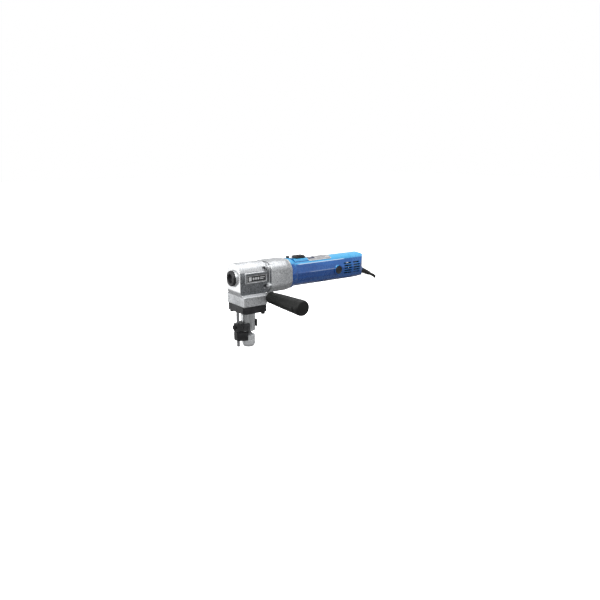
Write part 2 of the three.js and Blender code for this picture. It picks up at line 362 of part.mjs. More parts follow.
// ---------- side grip ----------
piece("grip", "side_grip", turnY([[0, HANDLE_Y0 - 0.3], [12.4, HANDLE_Y0 - 0.3], [13.2, HANDLE_Y0 - 3], [12.6, HANDLE_Y0 - 5], [13.8, -60], [15, -90], [16, -122], [16.8, -146], [17, -153], [15.4, -157.8], [12, -159.8], [5, HANDLE_Y1], [0, HANDLE_Y1]], 28, HANDLE_X, HANDLE_Z).subtract(cylY(4.3, -60, -37, HANDLE_X, HANDLE_Z, 16)), GRIP, [HANDLE_X, -90, HANDLE_Z]);
piece("grip", "grip_stud", cylY(4, -59, -26, HANDLE_X, HANDLE_Z, 16), STEEL, [HANDLE_X, -40, HANDLE_Z]);

// ---------- cord ----------
piece("cord", "cord_guard", solid(latheGeo([[0, -20], [5.6, -20], [5.6, -17], [6.8, -16.6], [6.8, 2], [6.2, 6], [5.2, GUARD_LEN - 1], [4.8, GUARD_LEN], [0, GUARD_LEN]], 20), guardFrame()), RUBBER, GUARD_EXIT);
const LEAD = [[359.4, 0, 124.0], [368.3, 0, 119.9], [377.2, 0.3, 114.9], [386, 1.2, 107.6], [393.4, 3, 97.5], [398.8, 5.6, 85], [402.4, 9.2, 71], [404.6, 14, 56.5], [405.8, 20.4, 42.5], [406.4, 28.6, 29.6], [406.7, 38.6, 18.6], [406.8, 50, 10.6], [406.8, 62, 5.8], [406.8, 74, 4.2], [406.8, 80, 4.1]];
const TAIL = [[406.6, 84.8, 11.4], [403.9, 97.6, 12.4], [396.6, 108.8, 15.4], [386.2, 116.8, 19], [375.6, 121.2, 21.6], [367.9, 122.6, 22.3]];
const PLUG = { x: 366.8, y: 123, z: 15.5, h: 13.5 };
const OCT = Array.from({ length: 8 }, (_, i) => {
  const a = ((i + 0.5) * Math.PI) / 4;
  return new THREE.Vector2(CORD_R * 1.02 * Math.cos(a), CORD_R * 1.02 * Math.sin(a));
});
const sweep = (pts, steps) => solid(new THREE.ExtrudeGeometry(new THREE.Shape(OCT), { steps, bevelEnabled: false, extrudePath: new THREE.CatmullRomCurve3(pts.map((p) => new THREE.Vector3(...p))) }));
const ring = (g) => turnZ(tube(COIL.r0 - g, COIL.r1 + g, -g, COIL.h + g), 90, COIL.x, COIL.y);
piece("cord", "cord_lead", cut(sweep(LEAD, 16), ring(GAP)), RUBBER, [400, 10, 60]);
piece("cord", "cord_tail", cut(sweep(TAIL, 6), ring(GAP)), RUBBER, [390, 112, 16]);
{
  // moulded plug lying on the coil, its blades pointing away from the cord
  const outline = [[0, -5], [-13, -7.5], [-18, -12.5], [-37, -13], [-39, -11], [-39, 11], [-37, 13], [-18, 12.5], [-13, 7.5], [0, 5]];
  let s = prismZ(outline, PLUG.z, PLUG.z + PLUG.h);
  for (const k of [-1, 1]) s = s.add(box(-56, -38, 6.35 * k - 0.75, 6.35 * k + 0.75, PLUG.z + 3.6, PLUG.z + 9.9));
  piece("cord", "mains_plug", s.translate([PLUG.x, PLUG.y, 0]), RUBBER, [PLUG.x - 20, PLUG.y, PLUG.z]);
}
piece("cord", "cord_coil", turnZ(tube(COIL.r0, COIL.r1, 0, COIL.h), 32, COIL.x, COIL.y), RUBBER, [COIL.x, COIL.y, 0]);

root.updateMatrixWorld(true);
export default root;
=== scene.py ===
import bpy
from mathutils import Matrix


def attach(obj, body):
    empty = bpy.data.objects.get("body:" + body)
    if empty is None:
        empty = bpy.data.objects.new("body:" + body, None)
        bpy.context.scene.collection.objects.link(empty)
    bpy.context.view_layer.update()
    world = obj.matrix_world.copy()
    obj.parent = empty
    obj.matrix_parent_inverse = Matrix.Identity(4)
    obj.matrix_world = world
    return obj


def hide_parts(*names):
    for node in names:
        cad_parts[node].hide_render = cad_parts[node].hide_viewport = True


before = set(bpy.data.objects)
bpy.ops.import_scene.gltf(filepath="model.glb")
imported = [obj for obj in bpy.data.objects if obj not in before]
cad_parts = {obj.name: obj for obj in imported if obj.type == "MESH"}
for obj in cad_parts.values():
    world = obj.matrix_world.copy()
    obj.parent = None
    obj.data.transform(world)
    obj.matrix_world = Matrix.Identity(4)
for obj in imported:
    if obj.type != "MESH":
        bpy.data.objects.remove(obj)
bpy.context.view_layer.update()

import math

import bmesh
import bpy
from mathutils import Matrix, Vector

# Pieces are shaped in the tool's work coordinates, in millimetres: the punch axis is x = 0, y = 0 and
# the underside of the die holder is z = 0. place() takes them to the row frame, in metres.
OX, OY = 143.7, -61.75
TO_ROW = Matrix.Scale(0.001, 4) @ Matrix.Translation((-OX, -OY, 0))
ZM, ZC = 153.0, 157.5
HEAD_W, HEAD_FRONT, ARCH_Z, FLANGE_W = 29.2, -35.5, 161.5, 37.0
CASE_X0, CASE_X1, CASE_W = 41.3, 97.6, 35.0
MOTOR_X0, SEAM_X, REAR_X, BARREL_R = 97.9, 278.0, 331.0, 31.3
HANDLE_X, HANDLE_Z = 36.0, 112.6
BRUSH_X, BRUSH_Z = 232.7, 151.0
LAY_Y, LAY_Z = 16.04, (ZM + ZC) / 2
GUARD_EXIT = Vector((329.0, 0.0, 137.5))
GUARD_DIR = Vector((math.cos(math.radians(24)), 0, -math.sin(math.radians(24))))
CORD_R = 3.75
ROD_X, DIE_R, POST_R = -26.5, 14.5, 15.6
SCREWS = [(-27, ZM + 24), (27, ZM + 24), (-31, ZM - 16), (31, ZM - 16)]
BOLTS = [(-23.5, -30), (-23.5, 30), (20, -30), (20, 30)]


def row(p):
    return TO_ROW @ Vector(p)


# ---------------------------------------------------------------- mesh helpers
def mesh(name, verts, faces):
    me = bpy.data.meshes.new(name)
    me.from_pydata([tuple(v) for v in verts], [], faces)
    bm = bmesh.new()
    bm.from_mesh(me)
    bmesh.ops.remove_doubles(bm, verts=bm.verts, dist=1e-4)
    bmesh.ops.recalc_face_normals(bm, faces=bm.faces)
    bm.to_mesh(me)
    bm.free()
    o = bpy.data.objects.new(name, me)
    bpy.context.scene.collection.objects.link(o)
    return o


def fillet(pts, r, steps=3, loop=False):
    """rounds the corners of a profile; a corner on the axis (first coordinate 0) stays"""
    if r <= 0:
        return list(pts)
    out, n = [], len(pts)
    for i, p in enumerate(pts):
        if not loop and (i == 0 or i == n - 1):
            out.append(p)
            continue
        a, b = pts[i - 1], pts[(i + 1) % n]
        va, vb = Vector(a) - Vector(p), Vector(b) - Vector(p)
        la, lb = va.length, vb.length
        if la < 1e-6 or lb < 1e-6 or va.angle(vb) > math.radians(174):
            out.append(p)
            continue
        d = min(r, 0.46 * la, 0.46 * lb)
        s, e, c = Vector(p) + va / la * d, Vector(p) + vb / lb * d, Vector(p)
        for k in range(steps + 1):
            t = k / steps
            q = s * (1 - t) ** 2 + c * 2 * t * (1 - t) + e * t * t
            out.append((q[0], q[1]))
    return out


AXES = {
    "X": lambda r, a, c, s: (a, r * c, r * s),
    "Y": lambda r, a, c, s: (r * c, a, r * s),
    "Z": lambda r, a, c, s: (r * c, r * s, a),
}


def lathe(name, profile, axis, at=(0, 0, 0), n=64, r=0.35, steps=3, wave=None):
    """a turned piece; the profile is (radius, distance along the axis). wave(radius, along, angle) may bend it"""
    closed = profile[0] == profile[-1]
    pts = fillet(profile[:-1], r, steps, True) if closed else fillet(profile, r, steps)
    verts, rings, f = [], [], AXES[axis]
    for rad, a in pts:
        if rad < 1e-6:
            verts.append(f(0, a, 1, 0))
            rings.append([len(verts) - 1] * n)
            continue
        ids = []
        for k in range(n):
            t = 2 * math.pi * k / n
            q = wave(rad, a, t) if wave else rad
            verts.append(f(q, a, math.cos(t), math.sin(t)))
            ids.append(len(verts) - 1)
        rings.append(ids)
    faces = []
    pairs = list(zip(rings, rings[1:])) + ([(rings[-1], rings[0])] if closed else [])
    for p, q in pairs:
        for k in range(n):
            face = []
            for v in (p[k], p[(k + 1) % n], q[(k + 1) % n], q[k]):
                if v not in face:
                    face.append(v)
            if len(face) > 2:
                faces.append(face)
    o = mesh(name, verts, faces)
    o.data.transform(Matrix.Translation(at))
    return o


def prism(pts, axis, a0, a1, name="t"):
    """points are (y, z) along X, (x, z) along Y and (x, y) along Z"""
    put = {
        "X": lambda p, a: (a, p[0], p[1]),
        "Y": lambda p, a: (p[0], a, p[1]),
        "Z": lambda p, a: (p[0], p[1], a),
    }[axis]
    n = len(pts)
    verts = [put(p, a0) for p in pts] + [put(p, a1) for p in pts]
    faces = [list(range(n)), list(range(n, 2 * n))]
    faces += [[i, (i + 1) % n, n + (i + 1) % n, n + i] for i in range(n)]
    return mesh(name, verts, faces)


def box(x0, x1, y0, y1, z0, z1):
    return prism([(x0, y0), (x1, y0), (x1, y1), (x0, y1)], "Z", z0, z1)


def cyl(axis, r, a0, a1, at=(0, 0, 0), n=48):
    return lathe("c", [(0, a0), (r, a0), (r, a1), (0, a1)], axis, at, n, 0)


def hexagon(r, cx=0.0, cy=0.0, turn=0.0):
    return [
        (cx + r * math.cos(turn + k * math.pi / 3), cy + r * math.sin(turn + k * math.pi / 3))
        for k in range(6)
    ]


def arc(cx, cy, r, a0, a1, n):
    return [
        (cx + r * math.cos(math.radians(a0 + (a1 - a0) * i / n)), cy + r * math.sin(math.radians(a0 + (a1 - a0) * i / n)))
        for i in range(n + 1)
    ]


def mirrored(half):
    return half + [(-a, b) for a, b in reversed(half) if abs(a) > 1e-9]


def apply(o):
    dg = bpy.context.evaluated_depsgraph_get()
    me = bpy.data.meshes.new_from_object(o.evaluated_get(dg))
    o.modifiers.clear()
    old, o.data = o.data, me
    bpy.data.meshes.remove(old)
    return o


def boolean(o, op, *others):
    for b in others:
        m = o.modifiers.new("b", "BOOLEAN")
        m.operation, m.solver, m.object = op, "MANIFOLD", b
    apply(o)
    for b in others:
        me = b.data
        bpy.data.objects.remove(b)
        bpy.data.meshes.remove(me)
    return o


def add(o, *others):
    return boolean(o, "UNION", *others)


def cut(o, *others):
    return boolean(o, "DIFFERENCE", *others)


def common(o, *others):
    return boolean(o, "INTERSECT", *others)


def tidy(o, dist=0.01):
    bm = bmesh.new()
    bm.from_mesh(o.data)
    bmesh.ops.remove_doubles(bm, verts=bm.verts, dist=dist)
    bmesh.ops.dissolve_degenerate(bm, edges=bm.edges, dist=dist)
    bmesh.ops.recalc_face_normals(bm, faces=bm.faces)
    bm.to_mesh(o.data)
    bm.free()
    return o


def bevel(o, width, segments=2, angle=32):
    tidy(o)
    m = o.modifiers.new("v", "BEVEL")
    m.limit_method, m.angle_limit = "ANGLE", math.radians(angle)
    m.width, m.segments, m.use_clamp_overlap, m.miter_outer = width, segments, True, "MITER_ARC"
    return apply(o)


def cast(o, voxel=0.6, smooth=6, ratio=0.4):
    """a cast or moulded surface: even skin, soft fillets on every edge"""
    m = o.modifiers.new("r", "REMESH")
    m.mode, m.voxel_size = "VOXEL", voxel
    m = o.modifiers.new("s", "SMOOTH")
    m.factor, m.iterations = 0.5, smooth
    if ratio < 1:
        m = o.modifiers.new("d", "DECIMATE")
        m.ratio = ratio
    return apply(o)


def shade(o, angle=34):
    """smooth shading, with edges over the angle kept sharp and normals weighted to the large faces"""
    me = o.data
    bm = bmesh.new()
    bm.from_mesh(me)
    lim = math.radians(angle)
    for f in bm.faces:
        f.smooth = True
    for e in bm.edges:
        e.smooth = len(e.link_faces) == 2 and e.calc_face_angle(0) < lim
    bm.to_mesh(me)
    bm.free()
    m = o.modifiers.new("n", "WEIGHTED_NORMAL")
    m.keep_sharp, m.weight = True, 60
    return apply(o)


def piece(o, name, body, material, nodes=(), angle=34, normals=True):
    """names a finished piece, takes it to the row frame and gives it its body, slot and material"""
    if normals:
        shade(o, angle)
    o.data.transform(TO_ROW)
    o.name = name
    o.data.name = name
    o.data.materials.clear()
    for m in material if isinstance(material, (list, tuple)) else [material]:
        o.data.materials.append(m)
    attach(o, body)
    if nodes:
        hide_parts(*nodes)
    return o


# ---------------------------------------------------------------- materials
class Mat:
    """a node material on one Principled shader, with small helpers for its textures"""

    def __init__(self, name, color=(0.8, 0.8, 0.8), rough=0.5, metal=0.0, **more):
        self.m = bpy.data.materials.new(name)
        self.m.use_nodes = True
        self.t = self.m.node_tree
        self.t.nodes.clear()
        self.p = self.t.nodes.new("ShaderNodeBsdfPrincipled")
        out = self.t.nodes.new("ShaderNodeOutputMaterial")
        self.t.links.new(self.p.outputs[0], out.inputs[0])
        self.p.inputs["Base Color"].default_value = (*color, 1)
        self.p.inputs["Roughness"].default_value = rough
        self.p.inputs["Metallic"].default_value = metal
        for k, v in more.items():
            self.p.inputs[k.replace("_", " ")].default_value = v
        self.co = self.t.nodes.new("ShaderNodeTexCoord").outputs["Object"]
        self.nrm = None

    def n(self, kind, **props):
        node = self.t.nodes.new("ShaderNode" + kind)
        for k, v in props.items():
            setattr(node, k, v)
        return node

    def put(self, socket, value):
        if hasattr(value, "links"):
            self.t.links.new(value, socket)
        else:
            socket.default_value = value

    def scaled(self, x=1.0, y=1.0, z=1.0, shift=(0, 0, 0)):
        m = self.n("Mapping")
        m.inputs["Scale"].default_value = (x, y, z)
        m.inputs["Location"].default_value = shift
        self.put(m.inputs["Vector"], self.co)
        return m.outputs[0]

    def noise(self, scale, detail=3.0, rough=0.55, vec=None, distort=0.0):
        k = self.n("TexNoise")
        k.inputs["Scale"].default_value = scale
        k.inputs["Detail"].default_value = detail
        k.inputs["Roughness"].default_value = rough
        k.inputs["Distortion"].default_value = distort
        self.put(k.inputs["Vector"], vec or self.co)
        return k.outputs["Fac"]

    def cells(self, scale, vec=None, feature="F1", random=1.0):
        k = self.n("TexVoronoi", feature=feature)
        k.inputs["Scale"].default_value = scale
        k.inputs["Randomness"].default_value = random
        self.put(k.inputs["Vector"], vec or self.co)
        return k.outputs["Distance"]

    def axis(self, which):
        s = self.n("SeparateXYZ")
        self.put(s.inputs[0], self.co)
        return s.outputs["XYZ".index(which)]

    def facing(self, which, lo, hi):
        """0 to 1 as the surface turns towards + along one axis of the row frame"""
        g = self.n("SeparateXYZ")
        self.put(g.inputs[0], self.n("NewGeometry").outputs["True Normal"])
        return self.step(g.outputs["XYZ".index(which)], lo, hi)

    def math(self, op, a, b=0.0, clamp=False):
        k = self.n("Math", operation=op, use_clamp=clamp)
        self.put(k.inputs[0], a)
        self.put(k.inputs[1], b)
        return k.outputs[0]

    def step(self, value, lo, hi, a=0.0, b=1.0, smooth=True):
        k = self.n("MapRange", interpolation_type="SMOOTHSTEP" if smooth else "LINEAR")
        self.put(k.inputs["Value"], value)
        for name, v in (("From Min", lo), ("From Max", hi), ("To Min", a), ("To Max", b)):
            k.inputs[name].default_value = v
        return k.outputs["Result"]

    def mix(self, fac, a, b, kind="MIX"):
        k = self.n("Mix", data_type="RGBA", blend_type=kind)
        self.put(k.inputs[0], fac)
        self.put(k.inputs[6], (*a, 1) if isinstance(a, tuple) else a)
        self.put(k.inputs[7], (*b, 1) if isinstance(b, tuple) else b)
        return k.outputs[2]

    def edge(self, lo=0.515, hi=0.56):
        """worn edges, broken up by a fine noise"""
        g = self.n("NewGeometry").outputs["Pointiness"]
        return self.math("MULTIPLY", self.step(g, lo, hi), self.step(self.noise(420, 4, 0.65), 0.36, 0.62), True)

    # mask of concave places, read from pointiness: used to paint shade into the hollows
    def hollow_shade(self, lo=0.49, hi=0.44):
        g = self.n("NewGeometry").outputs["Pointiness"]
        return self.step(g, lo, hi)

    def bump(self, height, strength, distance=0.0002):
        k = self.n("Bump")
        k.inputs["Strength"].default_value = strength
        k.inputs["Distance"].default_value = distance
        self.put(k.inputs["Height"], height)
        if self.nrm is not None:
            self.put(k.inputs["Normal"], self.nrm)
        self.nrm = k.outputs[0]
        self.put(self.p.inputs["Normal"], self.nrm)

    def color(self, value):
        self.put(self.p.inputs["Base Color"], value)

    def rough(self, value):
        self.put(self.p.inputs["Roughness"], value)


def srgb(r, g, b):
    return tuple((c / 255 / 12.92) if c / 255 <= 0.04045 else ((c / 255 + 0.055) / 1.055) ** 2.4 for c in (r, g, b))


def make_cast():
    k = Mat("cast_aluminium", metal=0.82)
    grain, speck = k.noise(620, 5, 0.62), k.cells(520)
    broad = k.noise(28, 3, 0.5)
    c = k.mix(k.step(broad, 0.3, 0.7), srgb(186, 188, 190), srgb(212, 214, 216))
    c = k.mix(k.step(grain, 0.38, 0.54, 0.75, 0.0), c, srgb(118, 120, 124))
    c = k.mix(k.step(k.noise(260, 3, 0.6), 0.5, 0.36, 0.0, 0.45), c, srgb(126, 129, 133))
    c = k.mix(k.step(speck, 0.18, 0.05), c, srgb(240, 241, 242))
    # painted shade: concave places are darkened to a dark grey
    c = k.mix(k.math("MULTIPLY", k.hollow_shade(0.485, 0.43), 0.5), c, srgb(74, 75, 78))
    c = k.mix(k.math("MULTIPLY", k.edge(), 0.8), c, srgb(244, 245, 246))
    k.color(c)
    k.rough(k.step(k.noise(240, 4), 0.3, 0.7, 0.38, 0.58))
    k.bump(k.noise(900, 4, 0.6), 0.5, 0.00022)
    k.bump(k.cells(430), 0.3, 0.00022)
    k.bump(k.noise(90, 2), 0.25, 0.0005)
    return k


def make_head():
    """the casting, with its front face milled flat and bright"""
    k = Mat("cast_head", metal=0.82)
    face = k.step(k.axis("X"), (HEAD_FRONT - OX + 0.75) * 0.001, (HEAD_FRONT - OX + 0.35) * 0.001)
    grain, speck, broad = k.noise(620, 5, 0.62), k.cells(520), k.noise(28, 3, 0.5)
    c = k.mix(k.step(broad, 0.3, 0.7), srgb(186, 188, 190), srgb(212, 214, 216))
    c = k.mix(k.step(grain, 0.36, 0.54, 0.75, 0.0), c, srgb(118, 120, 124))
    c = k.mix(k.step(speck, 0.16, 0.05), c, srgb(236, 237, 238))
    # the two flanks between the ledge and the arch are left dark and rough
    z = k.axis("Z")
    flank = k.math("MAXIMUM", k.facing("Y", 0.86, 0.97), k.facing("Y", -0.86, -0.97))
    flank = k.math("MULTIPLY", flank, band(k, z, 0.1215, 0.172, 0.0006))
    dark = k.mix(k.step(k.noise(420, 4, 0.7), 0.36, 0.66), srgb(70, 73, 77), srgb(132, 136, 140))
    c = k.mix(k.math("MULTIPLY", flank, 0.9), c, dark)
    # painted shade: concave places are darkened to a dark grey
    c = k.mix(k.math("MULTIPLY", k.hollow_shade(0.485, 0.43), 0.5), c, srgb(74, 75, 78))
    c = k.mix(k.math("MULTIPLY", k.edge(), 0.8), c, srgb(246, 247, 248))
    lines = k.noise(1.0, 3, 0.6, k.scaled(60, 60, 2600))
    bright = k.mix(k.step(lines, 0.3, 0.7), srgb(214, 216, 218), srgb(238, 239, 240))
    k.color(k.mix(face, c, bright))
    r = k.n("Mix", data_type="FLOAT")
    k.put(r.inputs[0], face)
    k.put(r.inputs[2], k.step(k.noise(240, 4), 0.3, 0.7, 0.38, 0.58))
    k.put(r.inputs[3], k.step(lines, 0.3, 0.7, 0.24, 0.36))
    k.rough(r.outputs[0])
    off = k.math("SUBTRACT", 1.0, face)
    k.bump(k.math("MULTIPLY", k.noise(900, 4, 0.6), off), 0.5, 0.00022)
    k.bump(k.math("MULTIPLY", k.cells(430), off), 0.3, 0.00022)
    k.bump(k.math("MULTIPLY", lines, face), 0.12, 0.00004)
    return k


def make_turned(name, base, rough=0.26, axis="Z", stain=0.25, post_shade=None):
    """bright turned metal: fine tool marks round the axis, light stains"""
    k = Mat(name, metal=1.0)
    stretch = {"X": (3200, 40, 40), "Y": (40, 3200, 40), "Z": (40, 40, 3200)}[axis]
    marks = k.noise(1.0, 3, 0.6, k.scaled(*stretch))
    spots = k.noise(55, 4, 0.6)
    c = k.mix(k.step(marks, 0.3, 0.7), tuple(0.86 * v for v in base), tuple(min(1, 1.08 * v) for v in base))
    if post_shade:  # painted shade: above the sheet slot the post is darkened, with darker streaks
        shaded_post = k.mix(k.step(k.noise(1.0, 3, 0.6, k.scaled(260, 260, 26)), 0.34, 0.66), tuple(post_shade * v for v in base), tuple(min(1, 1.9 * post_shade * v) for v in base))
        c = k.mix(k.step(k.axis("Z"), 0.0345, 0.0365), c, shaded_post)
    c = k.mix(k.math("MULTIPLY", k.step(spots, 0.52, 0.72), stain), c, tuple(0.45 * v for v in base))
    k.color(k.mix(k.math("MULTIPLY", k.edge(0.53, 0.6), 0.2), c, srgb(245, 245, 245)))
    k.rough(k.step(k.noise(120, 4), 0.3, 0.7, rough * 0.8, rough * 1.5))
    k.bump(marks, 0.16, 0.00005)
    k.bump(k.noise(700, 3), 0.06, 0.0001)
    return k


def make_black_metal():
    k = Mat("black_metal", metal=0.55)
    broad, fine = k.noise(45, 4, 0.6), k.noise(900, 4, 0.6)
    c = k.mix(k.step(broad, 0.35, 0.7), srgb(33, 33, 35), srgb(56, 56, 59))
    c = k.mix(k.step(fine, 0.56, 0.72, 0, 0.35), c, srgb(84, 85, 88))
    k.color(k.mix(k.math("MULTIPLY", k.edge(0.54, 0.62), 0.16), c, srgb(132, 132, 134)))
    k.rough(k.step(k.noise(180, 4), 0.3, 0.7, 0.3, 0.52))
    k.bump(fine, 0.22, 0.00012)
    return k


def make_blue():
    k = Mat("blue_housing", IOR=1.5, Coat_Weight=0.35, Coat_Roughness=0.08)
    broad, scuff = k.noise(16, 3, 0.5), k.noise(1.0, 4, 0.62, k.scaled(90, 700, 700))
    c = k.mix(k.step(broad, 0.3, 0.7), srgb(5, 68, 140), srgb(10, 82, 157))
    # painted highlight: surfaces facing up are mixed towards a pale cyan, standing in for the light falling on the top
    c = k.mix(k.math("MULTIPLY", k.facing("Z", 0.35, 0.95), 0.7), c, srgb(66, 176, 220))
    c = k.mix(k.math("MULTIPLY", k.step(scuff, 0.6, 0.74), 0.3), c, srgb(92, 156, 206))
    # painted highlight: pale lines along the barrel's upper corner and along its side ridge
    x, z = k.axis("X"), k.axis("Z")
    corner = k.math("MULTIPLY", band(k, z, 0.1738, 0.1755, 0.0003), band(k, x, -0.022, 0.112, 0.004))
    ridge = k.math("MULTIPLY", band(k, z, 0.1551, 0.1565, 0.0003), band(k, x, 0.006, 0.080, 0.008))
    painted_highlight = k.math("MAXIMUM", k.math("MULTIPLY", corner, 0.5), k.math("MULTIPLY", ridge, 0.3))
    c = k.mix(painted_highlight, c, srgb(222, 238, 248))
    # painted shade: concave places are darkened to a deep blue
    c = k.mix(k.math("MULTIPLY", k.hollow_shade(), 0.5), c, srgb(8, 34, 92))
    # pale edges: partly worn edges, partly a painted highlight on the moulded corners
    k.color(k.mix(k.math("MULTIPLY", k.edge(0.53, 0.6), 0.1), c, srgb(120, 176, 220)))
    k.rough(k.step(k.noise(140, 4), 0.3, 0.75, 0.2, 0.36))
    k.bump(k.noise(1500, 2, 0.5), 0.07, 0.00008)
    k.bump(k.noise(60, 2), 0.05, 0.0004)
    return k


def make_black_plastic(name="black_plastic", lo=(17, 17, 18), hi=(33, 33, 35), rough=(0.36, 0.52), grain=1500, depth=0.3, ior=1.48):
    k = Mat(name, IOR=ior)
    fine = k.cells(grain)
    c = k.mix(k.step(k.noise(38, 3), 0.3, 0.7), srgb(*lo), srgb(*hi))
    c = k.mix(k.step(k.noise(650, 4, 0.65), 0.62, 0.78, 0, 0.25), c, srgb(96, 96, 98))
    k.color(k.mix(k.math("MULTIPLY", k.edge(0.52, 0.6), 0.4), c, srgb(92, 92, 95)))
    k.rough(k.step(k.noise(160, 4), 0.3, 0.7, *rough))
    k.bump(fine, depth, 0.00012)
    k.bump(k.noise(120, 3), 0.12, 0.0003)
    return k


def make_rubber(name, lo, hi, rough=(0.55, 0.78), dust=0.3):
    k = Mat(name, IOR=1.45, Sheen_Weight=0.08)
    c = k.mix(k.step(k.noise(34, 3), 0.3, 0.7), srgb(*lo), srgb(*hi))
    c = k.mix(k.math("MULTIPLY", k.step(k.noise(240, 5, 0.7), 0.55, 0.75), dust), c, srgb(104, 102, 98))
    # painted shade: concave places are darkened almost to black
    k.color(k.mix(k.math("MULTIPLY", k.hollow_shade(), 0.5), c, srgb(9, 9, 9)))
    k.rough(k.step(k.noise(200, 4), 0.3, 0.7, *rough))
    k.bump(k.noise(1300, 3, 0.6), 0.3, 0.00014)
    k.bump(k.cells(600), 0.12, 0.00015)
    return k


def band(k, value, a, b, soft):
    """1 between a and b along one axis, in metres of the row frame"""
    return k.math("MULTIPLY", k.step(value, a - soft, a + soft), k.step(value, b + soft, b - soft))


def make_label():
    """silver foil with a plain pattern: a dark field, a frame and rows of blank bars; no lettering"""
    k = Mat("label_foil", metal=0.35, Coat_Weight=0.25, Coat_Roughness=0.2)
    x, y = k.axis("X"), k.axis("Y")
    X = lambda v: (v - OX) * 0.001
    Y = lambda v: (v - OY) * 0.001
    s = 0.00016
    base = k.mix(k.step(k.noise(1.0, 3, 0.6, k.scaled(30, 900, 900)), 0.3, 0.7), srgb(158, 158, 160), srgb(186, 186, 188))
    ink = k.math("MULTIPLY", band(k, x, X(159), X(177), s), band(k, y, Y(-13), Y(13), s))
    c = k.mix(ink, base, srgb(26, 36, 66))
    inner = k.math("MULTIPLY", band(k, x, X(158.2), X(218.3), s), band(k, y, Y(-15.4), Y(15.4), s))
    outer = k.math("MULTIPLY", band(k, x, X(156.9), X(219.6), s), band(k, y, Y(-16.7), Y(16.7), s))
    c = k.mix(k.math("MULTIPLY", k.math("SUBTRACT", outer, inner, True), 0.9), c, srgb(30, 32, 38))
    rows = None
    for y0, y1, x1 in ((8.4, 10.6, 216), (3.6, 5.6, 209), (-0.6, 1.0, 217), (-4.8, -3.2, 203), (-9.0, -7.4, 213), (-13.0, -11.4, 206)):
        b = k.math("MULTIPLY", band(k, x, X(182), X(x1), s), band(k, y, Y(y0), Y(y1), s))
        rows = b if rows is None else k.math("MAXIMUM", rows, b)
    c = k.mix(k.math("MULTIPLY", rows, 0.92), c, srgb(40, 44, 54))
    ring = k.math("MULTIPLY", band(k, x, X(163), X(173), s), band(k, y, Y(-6), Y(6), s))
    c = k.mix(ring, c, srgb(226, 229, 233))
    c = k.mix(k.math("MULTIPLY", k.step(k.noise(300, 5, 0.7), 0.6, 0.75), 0.2), c, srgb(120, 122, 126))
    k.color(k.mix(k.math("MULTIPLY", k.edge(), 0.4), c, srgb(245, 245, 245)))
    k.rough(k.step(k.noise(170, 4), 0.3, 0.7, 0.26, 0.44))
    k.bump(k.noise(800, 3), 0.06, 0.00008)
    return k


def make_plate():
    """black enamelled plate with a plain row of light blocks and a thin border"""
    k = Mat("side_plate_enamel", metal=0.2, Coat_Weight=0.3, Coat_Roughness=0.15)
    x, z = k.axis("X"), k.axis("Z")
    X = lambda v: (v - OX) * 0.001
    Z = lambda v: v * 0.001
    s = 0.00014
    c = k.mix(k.step(k.noise(60, 4), 0.3, 0.7), srgb(17, 17, 19), srgb(34, 34, 38))
    marks = None
    for x0, x1, z0, z1 in ((-14.6, -7.6, 153.0, 161.6), (-4.6, -0.6, 155.2, 160.2), (1.4, 5.4, 155.2, 160.2), (7.4, 11.4, 155.2, 160.2), (13.4, 25.6, 158.6, 160.2), (13.4, 22.0, 155.2, 156.8)):
        b = k.math("MULTIPLY", band(k, x, X(x0), X(x1), s), band(k, z, Z(z0), Z(z1), s))
        marks = b if marks is None else k.math("MAXIMUM", marks, b)
    inner = k.math("MULTIPLY", band(k, x, X(-17.7), X(28.7), s), band(k, z, Z(151.1), Z(163.5), s))
    outer = k.math("MULTIPLY", band(k, x, X(-18.3), X(29.3), s), band(k, z, Z(150.5), Z(164.1), s))
    line = k.math("SUBTRACT", outer, inner, True)
    worn = k.step(k.noise(500, 5, 0.7), 0.66, 0.5, 0.8, 0.92)
    c = k.mix(k.math("MULTIPLY", k.math("MAXIMUM", marks, line), worn), c, srgb(206, 208, 210))
    k.color(k.mix(k.math("MULTIPLY", k.edge(), 0.6), c, srgb(170, 170, 172)))
    k.rough(k.step(k.noise(220, 4), 0.3, 0.7, 0.24, 0.42))
    k.bump(k.noise(900, 3), 0.08, 0.0001)
    return k


def make_laminated():
    k = Mat("laminations", metal=0.85)
    sheets = k.noise(1.0, 2, 0.5, k.scaled(1900, 12, 12))
    c = k.mix(k.step(sheets, 0.35, 0.6), srgb(74, 75, 78), srgb(132, 134, 138))
    k.color(k.mix(k.step(k.noise(160, 4), 0.55, 0.75, 0, 0.5), c, srgb(96, 72, 52)))
    k.rough(k.step(k.noise(200, 3), 0.3, 0.7, 0.4, 0.62))
    k.bump(sheets, 0.5, 0.0002)
    return k


CAST, HEAD, BLACK_METAL, BLUE = make_cast().m, make_head().m, make_black_metal().m, make_blue().m
MACHINED = make_turned("machined_face", srgb(226, 228, 230), 0.26, "Z", 0.3, 0.42).m
MACHINED_X = make_turned("machined_ring", srgb(222, 224, 226), 0.22, "X").m
STEEL = make_turned("tool_steel", srgb(150, 151, 154), 0.3, "Z", 0.4).m
STEEL_X = make_turned("tool_steel_shaft", srgb(150, 151, 154), 0.3, "X", 0.4).m
BEARING = make_turned("bearing_steel", srgb(196, 197, 200), 0.16, "X", 0.15).m
BRONZE = make_turned("sintered_bronze", srgb(172, 124, 66), 0.42, "Z", 0.5).m
BRASS = make_turned("brass", srgb(190, 158, 84), 0.3, "Y", 0.4).m
COPPER = make_turned("copper", srgb(184, 108, 70), 0.32, "X", 0.5).m
PLASTIC = make_black_plastic().m
GRIP = make_black_plastic("grip_moulding", (10, 11, 10), (21, 22, 20), (0.42, 0.6), 1100, 0.35, 1.36).m
RUBBER = make_rubber("black_rubber", (18, 18, 18), (31, 31, 31)).m
